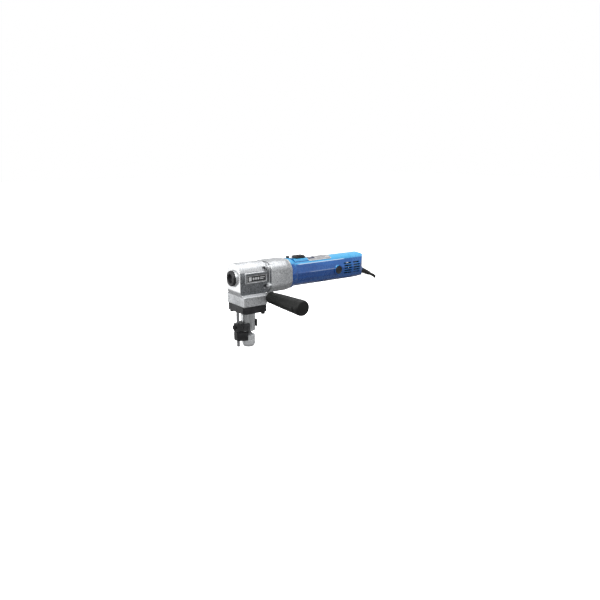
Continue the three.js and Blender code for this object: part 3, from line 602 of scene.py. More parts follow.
JACKET = make_rubber("cord_jacket", (15, 15, 15), (27, 27, 27), (0.42, 0.6), 0.22).m
CARBON = make_rubber("carbon", (34, 34, 36), (52, 52, 54), (0.6, 0.8), 0.15).m
LABEL, PLATE_M, LAMINATE = make_label().m, make_plate().m, make_laminated().m

BY_SLOT = {
    "cast_aluminium": CAST, "machined_face": MACHINED, "black_metal": BLACK_METAL, "tool_steel": STEEL_X,
    "bearing_steel": BEARING, "sintered_bronze": BRONZE, "blue_housing": BLUE, "black_plastic": PLASTIC,
    "label": LABEL, "black_rubber": RUBBER, "cord_jacket": JACKET, "laminations": LAMINATE,
    "copper": COPPER, "brass": BRASS, "carbon": CARBON,
}  # fmt: skip


# ---------------------------------------------------------------- head casting
def make_head_housing():
    half = [(max(y, 0), z) for y, z in arc(0, ARCH_Z, HEAD_W, 90, 0, 40)] + [(HEAD_W, 122.5), (FLANGE_W, 119), (FLANGE_W, 97.9)]
    half[0] = (0, half[0][1])
    s = prism(mirrored(half), "X", -40, 38)
    side = [(HEAD_FRONT, 196), (HEAD_FRONT, 130), (-31.5, 119), (-31.5, 97.9), (26.9, 97.9), (26.9, 119), (34.5, 129), (34.5, 196)]
    common(s, prism(side, "Y", -45, 45))
    add(s, prism([(-23, ZM - 24), (23, ZM - 24), (23, ZM + 24), (16, ZM + 33), (-16, ZM + 33), (-23, ZM + 24)], "X", 30, 41))
    add(s, prism([(-32, ZM - 18), (-20, ZM - 29), (20, ZM - 29), (32, ZM - 18), (32, ZM + 21), (20.5, ZM + 32.5), (-20.5, ZM + 32.5), (-32, ZM + 21)], "X", 36.8, 41))
    for y, z in SCREWS:
        iy, iz = y * 0.6, ZM + (z - ZM) * 0.6
        d = Vector((y - iy, z - iz)).normalized() * 5.6
        add(s, cyl("X", 5.6, 33.2, 41, (0, y, z)), prism([(y - d.y, z + d.x), (iy - d.y, iz + d.x), (iy + d.y, iz - d.x), (y + d.y, z - d.x)], "X", 34.6, 41))
    for k in (-1, 1):
        y0, y1 = (-FLANGE_W, -25.8) if k < 0 else (25.8, FLANGE_W)
        add(s, cyl("Y", 9.8, y0, y1, (HANDLE_X, 0, HANDLE_Z), 64), box(18, HANDLE_X, y0, y1, HANDLE_Z - 9.4, HANDLE_Z + 5.4))
    add(s, box(-22, 33, -31, -26, 147, 170))
    cut(s, box(-19.4, 30.4, -33, -29.6, 149.4, 165.2))
    for y, z in SCREWS:
        cut(s, cyl("X", 5.3, 24, 33.3, (0, y, z)), cyl("X", 2.7, 30, 42, (0, y, z)))
    cut(s, cyl("X", 14, -40, -20.5, (0, 0, ZC)), cyl("X", 9.5, -22, -7, (0, 0, ZC)), cyl("X", 9.5, 6, 23, (0, 0, ZC)), cyl("X", 14, 21, 42, (0, 0, ZC)))
    cut(s, prism([(-17.6, 133.8), (17.6, 133.8), (17.6, 178), (14, 182.3), (-14, 182.3), (-17.6, 178)], "X", -9, 9))
    cut(s, cyl("Z", 12.3, 90, 135), cyl("X", 5.9, 34.5, 42, (0, LAY_Y, LAY_Z)))
    for x, y in BOLTS:
        cut(s, cyl("Z", 3.1, 90, 111.5, (x, y, 0), 24))
    cut(s, cyl("Y", 4.3, -45, -24, (HANDLE_X, 0, HANDLE_Z), 32))  # the far boss is left undrilled
    cast(s, 0.62, 5, 0.42)
    return piece(s, "head_casting", "tool_frame", HEAD, ["head_housing"], 60, False)


def smooth_all(o):
    for p in o.data.polygons:
        p.use_smooth = True
    return o


smooth_all(make_head_housing())

cap = lathe(
    "cap",
    [(0, -36.9), (5.2, -36.9), (5.6, -37.5), (7.8, -37.5), (8.2, -36.9), (9.0, -36.9), (10.4, -43.6), (15.4, -43.6), (16.8, -42.3), (16.8, -35.8), (13.7, -35.8), (13.7, -30.6), (0, -30.6)],
    "X", (0, 0, ZC), 96, 0.5,
)  # fmt: skip
for k in range(3):
    a = math.radians(90 + 120 * k)
    cut(cap, cyl("X", 1.1, -44.4, -42.2, (0, 12.9 * math.cos(a), ZC + 12.9 * math.sin(a)), 20))
piece(cap, "bearing_cap_front", "tool_frame", BLACK_METAL, ["front_bearing_cap"])
piece(
    lathe("r", [(17.1, -35.8), (18.9, -35.8), (18.9, -37.6), (18.3, -38.3), (17.1, -38.3), (17.1, -35.8)], "X", (0, 0, ZC), 96, 0.3),
    "cap_ring", "tool_frame", MACHINED_X, ["front_cap_ring"],
)  # fmt: skip


def rounded_rect(x0, x1, z0, z1, r, n=6):
    pts = []
    for cx, cz, a in ((x1 - r, z1 - r, 0), (x0 + r, z1 - r, 90), (x0 + r, z0 + r, 180), (x1 - r, z0 + r, 270)):
        pts += arc(cx, cz, r, a, a + 90, n)
    return pts


plate = bevel(prism(rounded_rect(-18.9, 29.9, 149.9, 164.7, 1.6), "Y", -30.5, -29.7), 0.15, 2)
for x in (-17.0, 28.0):
    add(plate, lathe("rivet", [(0, -31.0), (0.7, -30.95), (1.1, -30.6), (1.15, -30.3), (0, -30.3)], "Y", (x, 0, 157.3), 24, 0.1))
piece(plate, "name_plate_blank", "tool_frame", PLATE_M, ["side_plate"])


def socket_screw(name, axis, r, a_top, a_seat, stem, a_end, at, key, sign=-1, material=BLACK_METAL, nodes=()):
    """a socket-head screw: chamfered head with a hexagon socket, a plain shank"""
    t = sign
    o = lathe(name, [(0, a_top), (r - 0.5, a_top), (r, a_top - t * 0.5), (r, a_seat), (stem, a_seat), (stem, a_end), (0, a_end)], axis, at, 48, 0.25, 2)
    depth = a_top - t * 2.6
    lo, hi = min(a_top + t * 0.5, depth), max(a_top + t * 0.5, depth)
    c = (at[1], at[2]) if axis == "X" else (at[0], at[1])
    cut(o, prism(hexagon(key, *c), axis, lo, hi))
    piece(o, name, "tool_frame", material, nodes)


for i, (y, z) in enumerate(SCREWS):
    socket_screw(f"case_screw_{i + 1}", "X", 4.3, 28.4, 33.0, 2.4, 56, (0, y, z), 2.2, -1, STEEL_X, [f"gear_case_screw_{i + 1}"])
for i, (x, y) in enumerate(BOLTS):
    up = 6.0 if i == 0 else 0.0  # the first bolt is counterbored
    socket_screw(f"plate_bolt_{i + 1}", "Z", 4.6, 76.6 + up, 82.0 + up, 2.8, 104 + up, (x, y, 0), 2.5, -1, BLACK_METAL, [f"base_bolt_{i + 1}"])

# ---------------------------------------------------------------- base plate
c, w, x0, x1 = 6, FLANGE_W, -31.5, 26.9
base = prism([(x0 + c, -w), (x1 - 3, -w), (x1, -w + 3), (x1, w - 3), (x1 - 3, w), (x0 + c, w), (x0, w - c), (x0, -w + c)], "Z", 82.3, 97.6)
cut(base, cyl("Z", 12.3, 80, 99, n=64), cyl("Z", 3.7, 80, 92, (ROD_X, 0, 0), 32), cyl("Z", 4.9, 80, 88.3, (*BOLTS[0], 0), 48))
cut(base, *[cyl("Z", 3.1, 80, 99, (x, y, 0), 24) for x, y in BOLTS])
bevel(base, 0.8, 3)
piece(base, "head_base_plate", "tool_frame", BLACK_METAL, ["base_plate"])

# ---------------------------------------------------------------- die holder, die, punch
post = lathe("post", [(0, 36.1), (POST_R - 1, 36.1), (POST_R, 37.1), (POST_R, 40.4), (POST_R - 0.35, 40.7), (POST_R - 0.35, 56.0), (POST_R, 56.3), (POST_R, 77.6), (POST_R - 0.5, 78.0), (POST_R - 0.5, 79.2), (POST_R, 79.6), (POST_R, 82), (12, 82), (12, 97.3), (0, 97.3)], "Z", (0, 0, 0), 96, 0.25)
low = lathe("low", [(0, 0), (DIE_R - 3, 0), (DIE_R, 5.5), (DIE_R, 15.2), (DIE_R - 0.4, 15.6), (DIE_R - 0.4, 16.8), (DIE_R, 17.2), (DIE_R, 25.5), (DIE_R - 1.5, 27), (0, 27)], "Z", (0, 0, 0), 96, 0.25)
add(post, low, box(-14.2, -8.6, -3.6, 3.6, 24, 40))
cut(post, cyl("Z", 8.4, 46, 99), cyl("Z", 5, 30, 50), cyl("Z", 9.3, 5, 30), cyl("Z", 6.4, -1, 7))
cut(post, box(-16, -8, -0.6, 0.6, -1, 23), box(-8.55, -5, -4, 4, 27, 31.8 + 4.3))
cut(post, lathe("s", [(0, -16), (2.2, -16), (2.2, -12), (0, -12)], "Y", (6, 0, 8.5), 24, 0), prism(hexagon(1.5, 6, 8.5), "Y", -13.5, -10.5))
tidy(post)
piece(post, "die_holder_body", "tool_frame", MACHINED, ["die_holder"], 28)
piece(lathe("die", [(5.4, 5.4), (9, 5.4), (9, 28), (8, 28.6), (8, 29.4), (7.4, 29.9), (6.1, 31.8), (5.4, 31.8), (5.4, 5.4)], "Z", (0, 0, 0), 64, 0.15), "die_insert", "tool_frame", STEEL, ["die"])
piece(lathe("punch", [(0, 12), (1.7, 12), (2, 12.5), (2, 31.2), (2.6, 32), (4.4, 32), (4.7, 32.4), (4.7, 61.7), (0, 61.7)], "Z", (0, 0, 0), 48, 0.12), "punch_tool", "ram_assembly", STEEL, ["punch"])
key = bevel(prism(rounded_rect(-8.5, -1.5, 43, 60, 1.2), "X", 15.9, 18.6), 0.5, 2)
for z in (46.8, 56.2):
    cut(key, cyl("X", 1.5, 17.4, 19.4, (0, -5, z), 24))
piece(key, "lock_key", "tool_frame", BLACK_METAL, ["post_lock_key"])

# ---------------------------------------------------------------- guide rod, clamp arm, guide block
piece(lathe("rod", [(0, 2), (2.8, 2), (3.4, 2.6), (3.4, 12), (3.1, 12.3), (3.1, 13.1), (3.4, 13.4), (3.4, 91), (0, 91)], "Z", (ROD_X, 0, 0), 48, 0.15), "guide_rod_pin", "tool_frame", STEEL, ["guide_rod"])
arm = lathe("arm", [(0, 38), (19.6, 38), (19.6, 55.5), (0, 55.5)], "Z", (0, 0, 0), 96, 0)
add(arm, box(-34, -10, -8, 7, 38, 55.5), cyl("Z", 7, 38, 55.5, (-29, -1, 0), 48))
cut(arm, cyl("Z", POST_R + 0.3, 36, 57, n=96), cyl("Z", 3.7, 36, 57, (ROD_X, 0, 0), 32), box(-6.5, 22, -22, 22, 36, 57))
cut(arm, cyl("X", 1.9, -37, -26.5, (0, -4.6, 48.5), 24), box(-37, -29, -1.2, -0.6, 36, 57))
bevel(arm, 0.6, 3)
piece(arm, "rod_clamp_arm", "tool_frame", BLACK_METAL, ["clamp_arm"])


def knurl(rad, a, t):
    return rad + (0.16 * math.cos(30 * t) if 4.3 < rad and -40.6 < a < -36.9 else 0)


knob = lathe("knob", [(0, -41.5), (4.0, -41.5), (4.6, -40.9), (4.62, -40.5), (4.62, -38.7), (4.62, -37.0), (4.6, -36.6), (4.2, -36), (1.6, -36), (1.6, -30.4), (0, -30.4)], "X", (0, -4.6, 48.5), 240, 0.12, 2, knurl)
cut(knob, box(-42, -40.2, -9.5, 0.5, 47.9, 49.1))
piece(knob, "clamp_knob_screw", "clamp_knob", BLACK_METAL, ["clamp_knob"], 40)
block = prism([(-34, -8), (-30, -12), (-22, -16), (-15, -18.4), (-12, -18.4), (-12, 11), (-30, 10), (-34, 6)], "Z", 17.5, 35.7)
cut(block, cyl("Z", DIE_R + 0.4, 10, 45, n=96), cyl("Z", 3.7, 10, 45, (ROD_X, 0, 0), 32), box(-15.5, 5, -4.2, 20, 10, 45))
bevel(block, 0.7, 3)
piece(block, "guide_block_body", "guide_block", BLACK_METAL, ["guide_block"])

# ---------------------------------------------------------------- gear case
front = [(-CASE_W, ZM - 20), (-19, ZM - 34.5), (19, ZM - 34.5), (CASE_W, ZM - 20), (CASE_W, ZM + 23), (22, ZM + 35.5), (-22, ZM + 35.5), (-CASE_W, ZM + 23)]
case = prism(fillet(front, 5, 5, True), "X", CASE_X0, CASE_X1)
common(case, lathe("e", [(0, 40), (47, 40), (47, 60), (43, 78), (37.6, 93), (37.6, 100), (0, 100)], "X", (0, 0, ZM + 1), 96, 3, 4))
cavity = cyl("X", 30.6, CASE_X0 - 1, 88.6, (0, 0, ZM + 2), 96)
common(cavity, box(40, 90, -30.6, 30.6, ZM - 26, ZM + 31))
common(cavity, lathe("v", [(0, 30), (40, 30), (40, 70), (30, 90), (0, 90)], "X", (0, 0, ZM + 1), 96, 0))
cut(case, cavity, cyl("X", 9.6, 85, 99, (0, 0, ZM)), cyl("X", 5.9, 85, 95.2, (0, LAY_Y, LAY_Z)))
cut(case, *[cyl("X", 2.7, 40, 57, (0, y, z), 24) for y, z in SCREWS])
cast(case, 0.6, 6, 0.42)
smooth_all(piece(case, "gear_case_casting", "tool_frame", CAST, ["gear_case"], 60, False))


# ---------------------------------------------------------------- motor housing and rear cover
def barrel(grow=0.0, r=2.4):
    R = BARREL_R + grow
    half = [(max(0, y), z) for y, z in arc(0, ZM, R, 90, 44, 14)]
    half += [(31.3 + grow, ZM + 3), (30 + grow, ZM - 10), (23.5 + grow * 0.8, ZM - 22), (12.5, ZM - 29.2 - grow * 0.8), (0, ZM - 31.3 - grow)]
    half[0] = (0, half[0][1])
    pts = mirrored(half)
    return fillet(pts, r, 5, True)


VENTS = (11.2, 5.4, -0.4, -6.2, -12)


def slots(x0, x1):
    out = []
    for z in VENTS:
        for y0, y1 in ((-40, -24), (24, 40)):
            pts = rounded_rect(x0, x1, ZM + z - 1.7, ZM + z + 1.7, 1.2, 4)
            out.append(prism(pts, "Y", y0, y1))
    return out


house = prism(barrel(), "X", MOTOR_X0, SEAM_X)
collar = prism(barrel(4.2), "X", MOTOR_X0, 116)
common(collar, lathe("k", [(0, 90), (37.4, 90), (37.4, 101), (31.4, 115), (0, 115)], "X", (0, 0, ZM), 128, 1.5, 4))
pad = prism(fillet(mirrored([(0, ZM + 33), (12.5, ZM + 32.2), (18, ZM + 27), (18, ZM + 20), (0, ZM + 20)]), 1.6, 4, True), "X", 116, 154.5)
add(house, collar, pad)
for k in (-1, 1):
    boss = [(0, -33.2), (11.6, -33.2), (11.6, -24), (0, -24)] if k < 0 else [(0, 24), (11.6, 24), (11.6, 33.2), (0, 33.2)]
    add(house, lathe("boss", boss, "Y", (BRUSH_X, 0, BRUSH_Z), 96, 0))
cut(house, cyl("X", 28.2, 101.5, 276, (0, 0, ZM), 96), cyl("X", 26, 97, 103, (0, 0, ZM), 96), cyl("X", 27.2, 275, 279, (0, 0, ZM), 96))
for a0, a1, b0, b1 in ((-35, -28.4, -30, -20), (28.4, 35, 20, 30)):
    cut(house, cyl("Y", 9.9, a0, a1, (BRUSH_X, 0, BRUSH_Z), 96), cyl("Y", 7, b0, b1, (BRUSH_X, 0, BRUSH_Z), 64))
cut(house, box(119, 148, -4.3, 4.3, ZM + 20, ZM + 40), lathe("lb", [(0, ZM + 20), (3.6, ZM + 20), (3.6, ZM + 33.9), (5.3, ZM + 33.9), (5.3, ZM + 45), (0, ZM + 45)], "Z", (107.5, 0, 0), 64, 0))
cut(house, *slots(252, 275.6))
# shallow moulded line along the belly
cut(house, box(126, 277.5, -0.25, 0.25, ZM - 32, ZM - 30.9))
bevel(house, 0.45, 2, 30)
piece(house, "housing_shell", "tool_frame", BLUE, ["motor_housing"], 30)

cover = prism(barrel(), "X", SEAM_X + 0.3, REAR_X + 5)
top = fillet([(SEAM_X - 10, ZM + 40), (SEAM_X - 10, ZM - 31.5), (SEAM_X, ZM - 31.5), (300, ZM - 28.5), (316, ZM - 25.5), (323, ZM - 21), (326.5, ZM - 13), (327.5, ZM - 4), (327.5, ZM + 10), (325, ZM + 20), (319, ZM + 27.5), (311, ZM + 31.4), (298, ZM + 40)], 6.5, 6, True)
plan = fillet([(SEAM_X - 10, -34), (SEAM_X, -34), (298, -31.5), (308, -27.5), (316, -21), (322, -13), (326, -6.5), (327.5, 0), (326, 6.5), (322, 13), (316, 21), (308, 27.5), (298, 31.5), (SEAM_X, 34), (SEAM_X - 10, 34)], 6.5, 6, True)
common(cover, prism(top, "Y", -40, 40), prism(plan, "Z", 100, 200))
GUARD_FRAME = Matrix.Translation(GUARD_EXIT) @ GUARD_DIR.to_track_quat("Z", "Y").to_matrix().to_4x4()


def guard_lathe(profile, n=64, r=0.3, wave=None):
    o = lathe("g", profile, "Z", (0, 0, 0), n, r, 3, wave)
    o.data.transform(GUARD_FRAME)
    return o


lug = guard_lathe([(0, -16), (9, -16), (9, -1.2), (0, -1.2)], 64, 0)
add(cover, common(lug, box(308, REAR_X, -12, 12, 120, 150)))
cut(cover, lathe("i", [(0, 270), (27.2, 270), (27.2, 299), (18.5, 317), (0, 317)], "X", (0, 0, ZM + 0.6), 96, 0), guard_lathe([(0, -22), (7.1, -22), (7.1, 12), (0, 12)], 64, 0))
cut(cover, *slots(280.6, 301))
bevel(cover, 0.5, 2, 30)
piece(cover, "rear_cover_shell", "tool_frame", BLUE, ["rear_cover"], 30)


# ---------------------------------------------------------------- label, switch, brush caps
def make_foil():
    x0, x1, a0, a1, r0, r1, rc = 155.5, 221.0, 54.0, 126.0, 31.62, 32.2, 2.5
    arc_len = math.radians(a1 - a0) * r1
    rows = sorted(set([rc * (1 - math.cos(math.pi / 2 * i / 6)) for i in range(7)] + [rc + (arc_len - 2 * rc) * i / 32 for i in range(33)] + [arc_len - rc * (1 - math.cos(math.pi / 2 * i / 6)) for i in range(7)]))
    cols = 24
    top, bot = [], []
    for s in rows:
        d = min(s, arc_len - s)
        inset = rc - math.sqrt(max(0, rc * rc - (rc - d) ** 2)) if d < rc else 0
        a = math.radians(a0) + s / r1
        for grid, r in ((top, r1), (bot, r0)):
            grid.append([(x0 + inset + (x1 - x0 - 2 * inset) * i / cols, r * math.cos(a), ZM + r * math.sin(a)) for i in range(cols + 1)])
    verts, faces, ids = [], [], []
    for grid in (top, bot):
        g = []
        for line in grid:
            g.append([len(verts) + i for i in range(cols + 1)])
            verts += line
        ids.append(g)
    n = len(rows)
    for g in ids:
        faces += [[g[j][i], g[j][i + 1], g[j + 1][i + 1], g[j + 1][i]] for j in range(n - 1) for i in range(cols)]
    a, b = ids
    for i in range(cols):
        faces += [[a[0][i], a[0][i + 1], b[0][i + 1], b[0][i]], [a[-1][i], a[-1][i + 1], b[-1][i + 1], b[-1][i]]]
    for j in range(n - 1):
        faces += [[a[j][0], a[j + 1][0], b[j + 1][0], b[j][0]], [a[j][-1], a[j + 1][-1], b[j + 1][-1], b[j][-1]]]
    return mesh("foil", verts, faces)


piece(make_foil(), "data_label_blank", "tool_frame", LABEL, ["rating_label"])

slide = bevel(prism(rounded_rect(124, 152, -10.5, 10.5, 2.0), "Z", ZM + 33.4, ZM + 36), 0.5, 2)
for i in range(5):
    rib = prism([(126.2 + i * 5, ZM + 35.6), (129.6 + i * 5, ZM + 35.6), (128.9 + i * 5, ZM + 38.6), (126.9 + i * 5, ZM + 38.6)], "Y", -9.3, 9.3)
    add(slide, bevel(rib, 0.4, 3))
add(slide, box(128, 137.6, -3.8, 3.8, ZM + 25.4, ZM + 34), box(130, 258, -2, 2, ZM + 25.4, ZM + 27.4))
piece(slide, "switch_slide", "switch_slider", PLASTIC, ["switch_slide_button"])
lock = lathe("lock", [(0, ZM + 29), (3.3, ZM + 29), (3.3, ZM + 36), (4.6, ZM + 36.2), (4.6, ZM + 38.6), (3.8, ZM + 39.4), (2.6, ZM + 39.4), (2.3, ZM + 39.1), (0, ZM + 39.0)], "Z", (107.5, 0, 0), 64, 0.3)
piece(lock, "lock_button_cap", "lock_button", PLASTIC, ["lock_button"])
for side, k in (("near", -1), ("far", 1)):
    prof = [(0, -32.6), (6.8, -32.6), (7.2, -33.4), (8.6, -33.4), (9.6, -32.4), (9.6, -28.7), (0, -28.7)]
    prof = prof if k < 0 else [(r, -a) for r, a in reversed(prof)]
    o = lathe("bc", prof, "Y", (BRUSH_X, 0, BRUSH_Z), 72, 0.3)
    cut(o, box(BRUSH_X - 6.2, BRUSH_X + 6.2, min(k * 31.4, k * 35), max(k * 31.4, k * 35), BRUSH_Z - 0.9, BRUSH_Z + 0.9))
    piece(o, f"brush_cap_{side}_moulding", "tool_frame", PLASTIC, [f"brush_cap_{side}"])

# ---------------------------------------------------------------- side grip
HY0, HY1 = -37.3, -160.5


def grip_wave(rad, a, t):
    return rad - (0.22 * (0.5 + 0.5 * math.cos(18 * t)) if -139 < a < -50 and rad > 9 else 0)


prof = [(0, HY0 - 0.3), (12.4, HY0 - 0.3), (13.2, HY0 - 3), (12.6, HY0 - 5), (13.2, -50), (13.8, -60), (14.4, -75), (15.0, -90), (15.5, -106), (16.0, -122), (16.5, -138.5)]
for i in range(3):
    y = -140.0 - i * 2.6
    prof += [(16.7, y), (16.1, y - 0.5), (16.1, y - 1.0), (16.8, y - 1.5)]
prof += [(16.95, -150.0), (17.0, -153.2), (16.4, -156.4), (14.6, -158.7), (12.2, -159.8), (11.4, -159.3), (10.6, -159.3), (9.8, -159.9), (5, -160.4), (0, HY1)]
grip = lathe("grip", prof, "Y", (HANDLE_X, 0, HANDLE_Z), 144, 0.5, 3, grip_wave)
cut(grip, cyl("Y", 4.3, -60, -37, (HANDLE_X, 0, HANDLE_Z), 48))
piece(grip, "side_grip_moulding", "tool_frame", GRIP, ["side_grip"], 40)

# ---------------------------------------------------------------- cord, guard, coil, plug
rings = [(3.95, 33), (3.95, 20), (0, 20), (0, -20), (5.6, -20), (5.6, -17), (6.8, -16.6), (6.8, 3.5)]
for i in range(5):
    z, r = 5.5 + i * 5.0, 6.75 - i * 0.28
    rings += [(r, z), (r, z + 2.9), (r - 1.0, z + 3.4), (r - 1.05, z + 4.6)]
rings += [(5.2, 30.6), (5.15, 32.4), (4.8, 33.0)]
guard = guard_lathe([(0, -20), (5.6, -20), (5.6, -17), (6.8, -16.6)] + rings[7:] + [(3.95, 33.0), (3.95, 18), (0, 18)], 72, 0.3)
piece(guard, "cord_guard_boot", "tool_frame", RUBBER, ["cord_guard"], 40)

LEAD = [(359.4, 0, 124.0), (368.3, 0, 119.9), (377.2, 0.3, 114.9), (386, 1.2, 107.6), (393.4, 3, 97.5), (398.8, 5.6, 85), (402.4, 9.2, 71), (404.6, 14, 56.5), (405.8, 20.4, 42.5), (406.4, 28.6, 29.6), (406.7, 38.6, 18.6), (406.8, 50, 10.6), (406.8, 62, 5.8), (406.8, 74, 4.0)]
TAIL = [(406.6, 84.8, 11.4), (403.9, 97.6, 12.4), (396.6, 108.8, 15.4), (386.2, 116.8, 19), (375.6, 121.2, 21.6), (367.9, 122.7, 22.25), (362.5, 123, 22.25)]
CX, CY, R0, PITCH, Z0, Z1 = 352.0, 80.0, 54.8, 7.6, 3.85, 11.4


def ease(t):
    t = max(0.0, min(1.0, t))
    return t * t * (3 - 2 * t)


def coil_point(deg):
    """bottom layer wound inwards with its jogs at 300-360 degrees, the climb at 240-300 of the
    innermost turn, and the top layer wound outwards with its jogs at 180-240 degrees"""
    if deg <= 1380:
        turn, f = int(deg // 360), deg % 360
        r = R0 - PITCH * min(3, turn + (ease((f - 300) / 60) if turn < 3 else 0))
        z = Z0 + (Z1 - Z0) * ease((deg - 1320) / 60)
    else:
        u = deg - 1380  # 0 is the end of the climb, at 300 degrees round
        turn, f = int(u // 360), u % 360
        r = R0 - 3 * PITCH + PITCH * min(3, turn + ease((f - 240) / 60))
        z = Z1
    a = math.radians(deg)
    return (CX + r * math.cos(a), CY + r * math.sin(a), z)


def spline(pts, step=3.0):
    """a smooth line through the points, at even steps"""
    P = [Vector(p) for p in pts]
    P = [P[0] * 2 - P[1]] + P + [P[-1] * 2 - P[-2]]
    out = []
    for i in range(1, len(P) - 2):
        a, b, c, d = P[i - 1 : i + 3]
        n = max(2, int((c - b).length / step))
        for k in range(n):
            t = k / n
            out.append(0.5 * ((2 * b) + (c - a) * t + (2 * a - 5 * b + 4 * c - d) * t * t + (3 * b - a - 3 * c + d) * t ** 3))
    out.append(P[-2])
    return out


turns = [Vector(coil_point(d)) for d in range(0, 2521, 5)]
start = GUARD_EXIT + GUARD_DIR * 22
line = spline([tuple(start)] + LEAD + [tuple(turns[0])]) + turns[1:-1] + spline([tuple(turns[-1])] + TAIL)
line = [p if i == 0 else p for i, p in enumerate(line)]
length = sum((b - a).length for a, b in zip(line, line[1:])) * 0.001
curve = bpy.data.curves.new("mains_cord", "CURVE")
curve.dimensions, curve.bevel_depth, curve.bevel_resolution, curve.use_fill_caps = "3D", CORD_R * 0.001, 6, True
sp = curve.splines.new("POLY")
sp.points.add(len(line) - 1)
for p, q in zip(sp.points, line):
    p.co = (*row(q), 1)
sp.use_smooth = True
flex = bpy.data.objects.new("mains_cord", curve)
bpy.context.scene.collection.objects.link(flex)
curve.materials.append(JACKET)
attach(flex, "tool_frame")
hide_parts("cord_lead", "cord_coil", "cord_tail")

# plug: moulded body with a waist, finger ribs and a tapered relief, two drilled blades
PX, PY, PZ, PH = 366.8, 123.0, 15.5, 13.5
outline = fillet([(0, -5.2), (-6, -6), (-13, -7.5), (-18, -12.5), (-37, -13), (-39, -11), (-39, 11), (-37, 13), (-18, 12.5), (-13, 7.5), (-6, 6), (0, 5.2)], 3.0, 5, True)
plug = prism(outline, "Z", 0, PH)
bevel(plug, 2.2, 5, 40)
for i in range(4):
    for k in (-1, 1):
        add(plug, bevel(prism([(-22 - i * 3.6, k * 11.6), (-20.4 - i * 3.6, k * 11.6), (-20.4 - i * 3.6, k * 13.4), (-22 - i * 3.6, k * 13.4)], "Z", 2.6, PH - 2.6), 0.4, 2))
relief = [(3.9, 4.6), (5.0, 4.6), (5.2, 3.4), (4.6, 2.9), (4.6, 1.9), (5.6, 1.4), (5.8, -0.4), (5.8, -3), (3.9, -3), (3.9, 4.6)]
add(plug, lathe("rel", relief, "X", (0, 0, PH / 2 + 0.0), 48, 0.2))
face = box(-39.4, -38.6, -9.5, 9.5, 2.6, PH - 2.6)
add(plug, bevel(face, 0.15, 2))
plug.data.transform(Matrix.Translation((PX, PY, PZ)))
piece(plug, "plug_moulding", "tool_frame", RUBBER, ["mains_plug"], 34)
for j, k in enumerate((-1, 1)):
    pts = fillet([(-38.2, 3.6), (-54.8, 3.6), (-56, 4.6), (-56, 8.9), (-54.8, 9.9), (-38.2, 9.9)], 0.8, 3, True)
    b = prism(pts, "Y", 6.35 * k - 0.75, 6.35 * k + 0.75)
    cut(b, cyl("Y", 1.6, -10, 10, (-52.4, 0, 6.75), 32))
    bevel(b, 0.3, 2)
    b.data.transform(Matrix.Translation((PX, PY, PZ)))
    piece(b, f"plug_blade_{j + 1}", "tool_frame", BRASS)


def band_loop(name, ang, r_in, r_out, z_lo, z_hi, width, thick):
    """a strap closed round the coil's bundle at one angle"""
    inner = fillet([(r_in, z_lo), (r_out, z_lo), (r_out, z_hi), (r_in, z_hi)], 3.0, 6, True)
    n = len(inner)
    outer = []
    for i, p in enumerate(inner):
        a, b = Vector(inner[i - 1]), Vector(inner[(i + 1) % n])
        t = (b - a).normalized()
        outer.append((p[0] + t.y * thick, p[1] - t.x * thick))
    verts, faces, c = [], [], math.radians(ang)
    e, f = Vector((math.cos(c), math.sin(c), 0)), Vector((-math.sin(c), math.cos(c), 0))
    for loop in (inner, outer):
        for off in (-width / 2, width / 2):
            verts += [Vector((CX, CY, 0)) + e * p[0] + f * off + Vector((0, 0, p[1])) for p in loop]
    for i in range(n):
        j = (i + 1) % n
        faces += [[i, j, n + j, n + i], [2 * n + i, 2 * n + j, 3 * n + j, 3 * n + i], [i, j, 2 * n + j, 2 * n + i], [n + i, n + j, 3 * n + j, 3 * n + i]]
    return mesh(name, verts, faces)


for j, a in enumerate((38, 205)):
    o = band_loop("tie", a, 27.6, 59.2, -0.25, 15.5, 7.0, 0.55)
    c = math.radians(a)
    tab = bevel(box(36, 52, -3.9, 3.9, 15.7, 16.5), 0.25, 2)
    tab.data.transform(Matrix.Translation((CX, CY, 0)) @ Matrix.Rotation(c, 4, "Z"))
    add(o, tab)
    piece(o, f"cord_tie_{j + 1}", "tool_frame", RUBBER)
row(LEAD[0])

# ---------------------------------------------------------------- pieces kept as the frame has them
for name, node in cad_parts.items():
    if node.hide_render:
        continue
    slot = node.material_slots[0].material.name.split(".")[0] if node.material_slots and node.material_slots[0].material else ""
    m = BY_SLOT.get(slot)
    if m is None:
        print("no material for", name, slot)
        m = STEEL
    node.data.materials.clear()
    node.data.materials.append(m)

# ---------------------------------------------------------------- stage, light, camera
scene = bpy.context.scene
scene.view_settings.view_transform = "Standard"
scene.view_settings.look = "None"


def plain(name, color, strength):
    m = bpy.data.materials.new(name)
    m.use_nodes = True
    p = m.node_tree.nodes["Principled BSDF"]
    p.inputs["Base Color"].default_value = (*color, 1)
    p.inputs["Roughness"].default_value = 0.9
    p.inputs["Emission Color"].default_value = (1, 1, 1, 1)
    p.inputs["Emission Strength"].default_value = strength
    return m


def staged(name, verts, faces, material):
    me = bpy.data.meshes.new(name)
    me.from_pydata(verts, [], faces)
    o = bpy.data.objects.new(name, me)
    scene.collection.objects.link(o)
    me.materials.append(material)
    return o


WHITE = plain("studio_white", (0.9, 0.9, 0.9), 1.0)
floor = staged("floor", [(-9, -9, -0.0009), (9, -9, -0.0009), (9, 9, -0.0009), (-9, 9, -0.0009)], [[0, 1, 2, 3]], WHITE)
floor.visible_diffuse = floor.visible_glossy = False

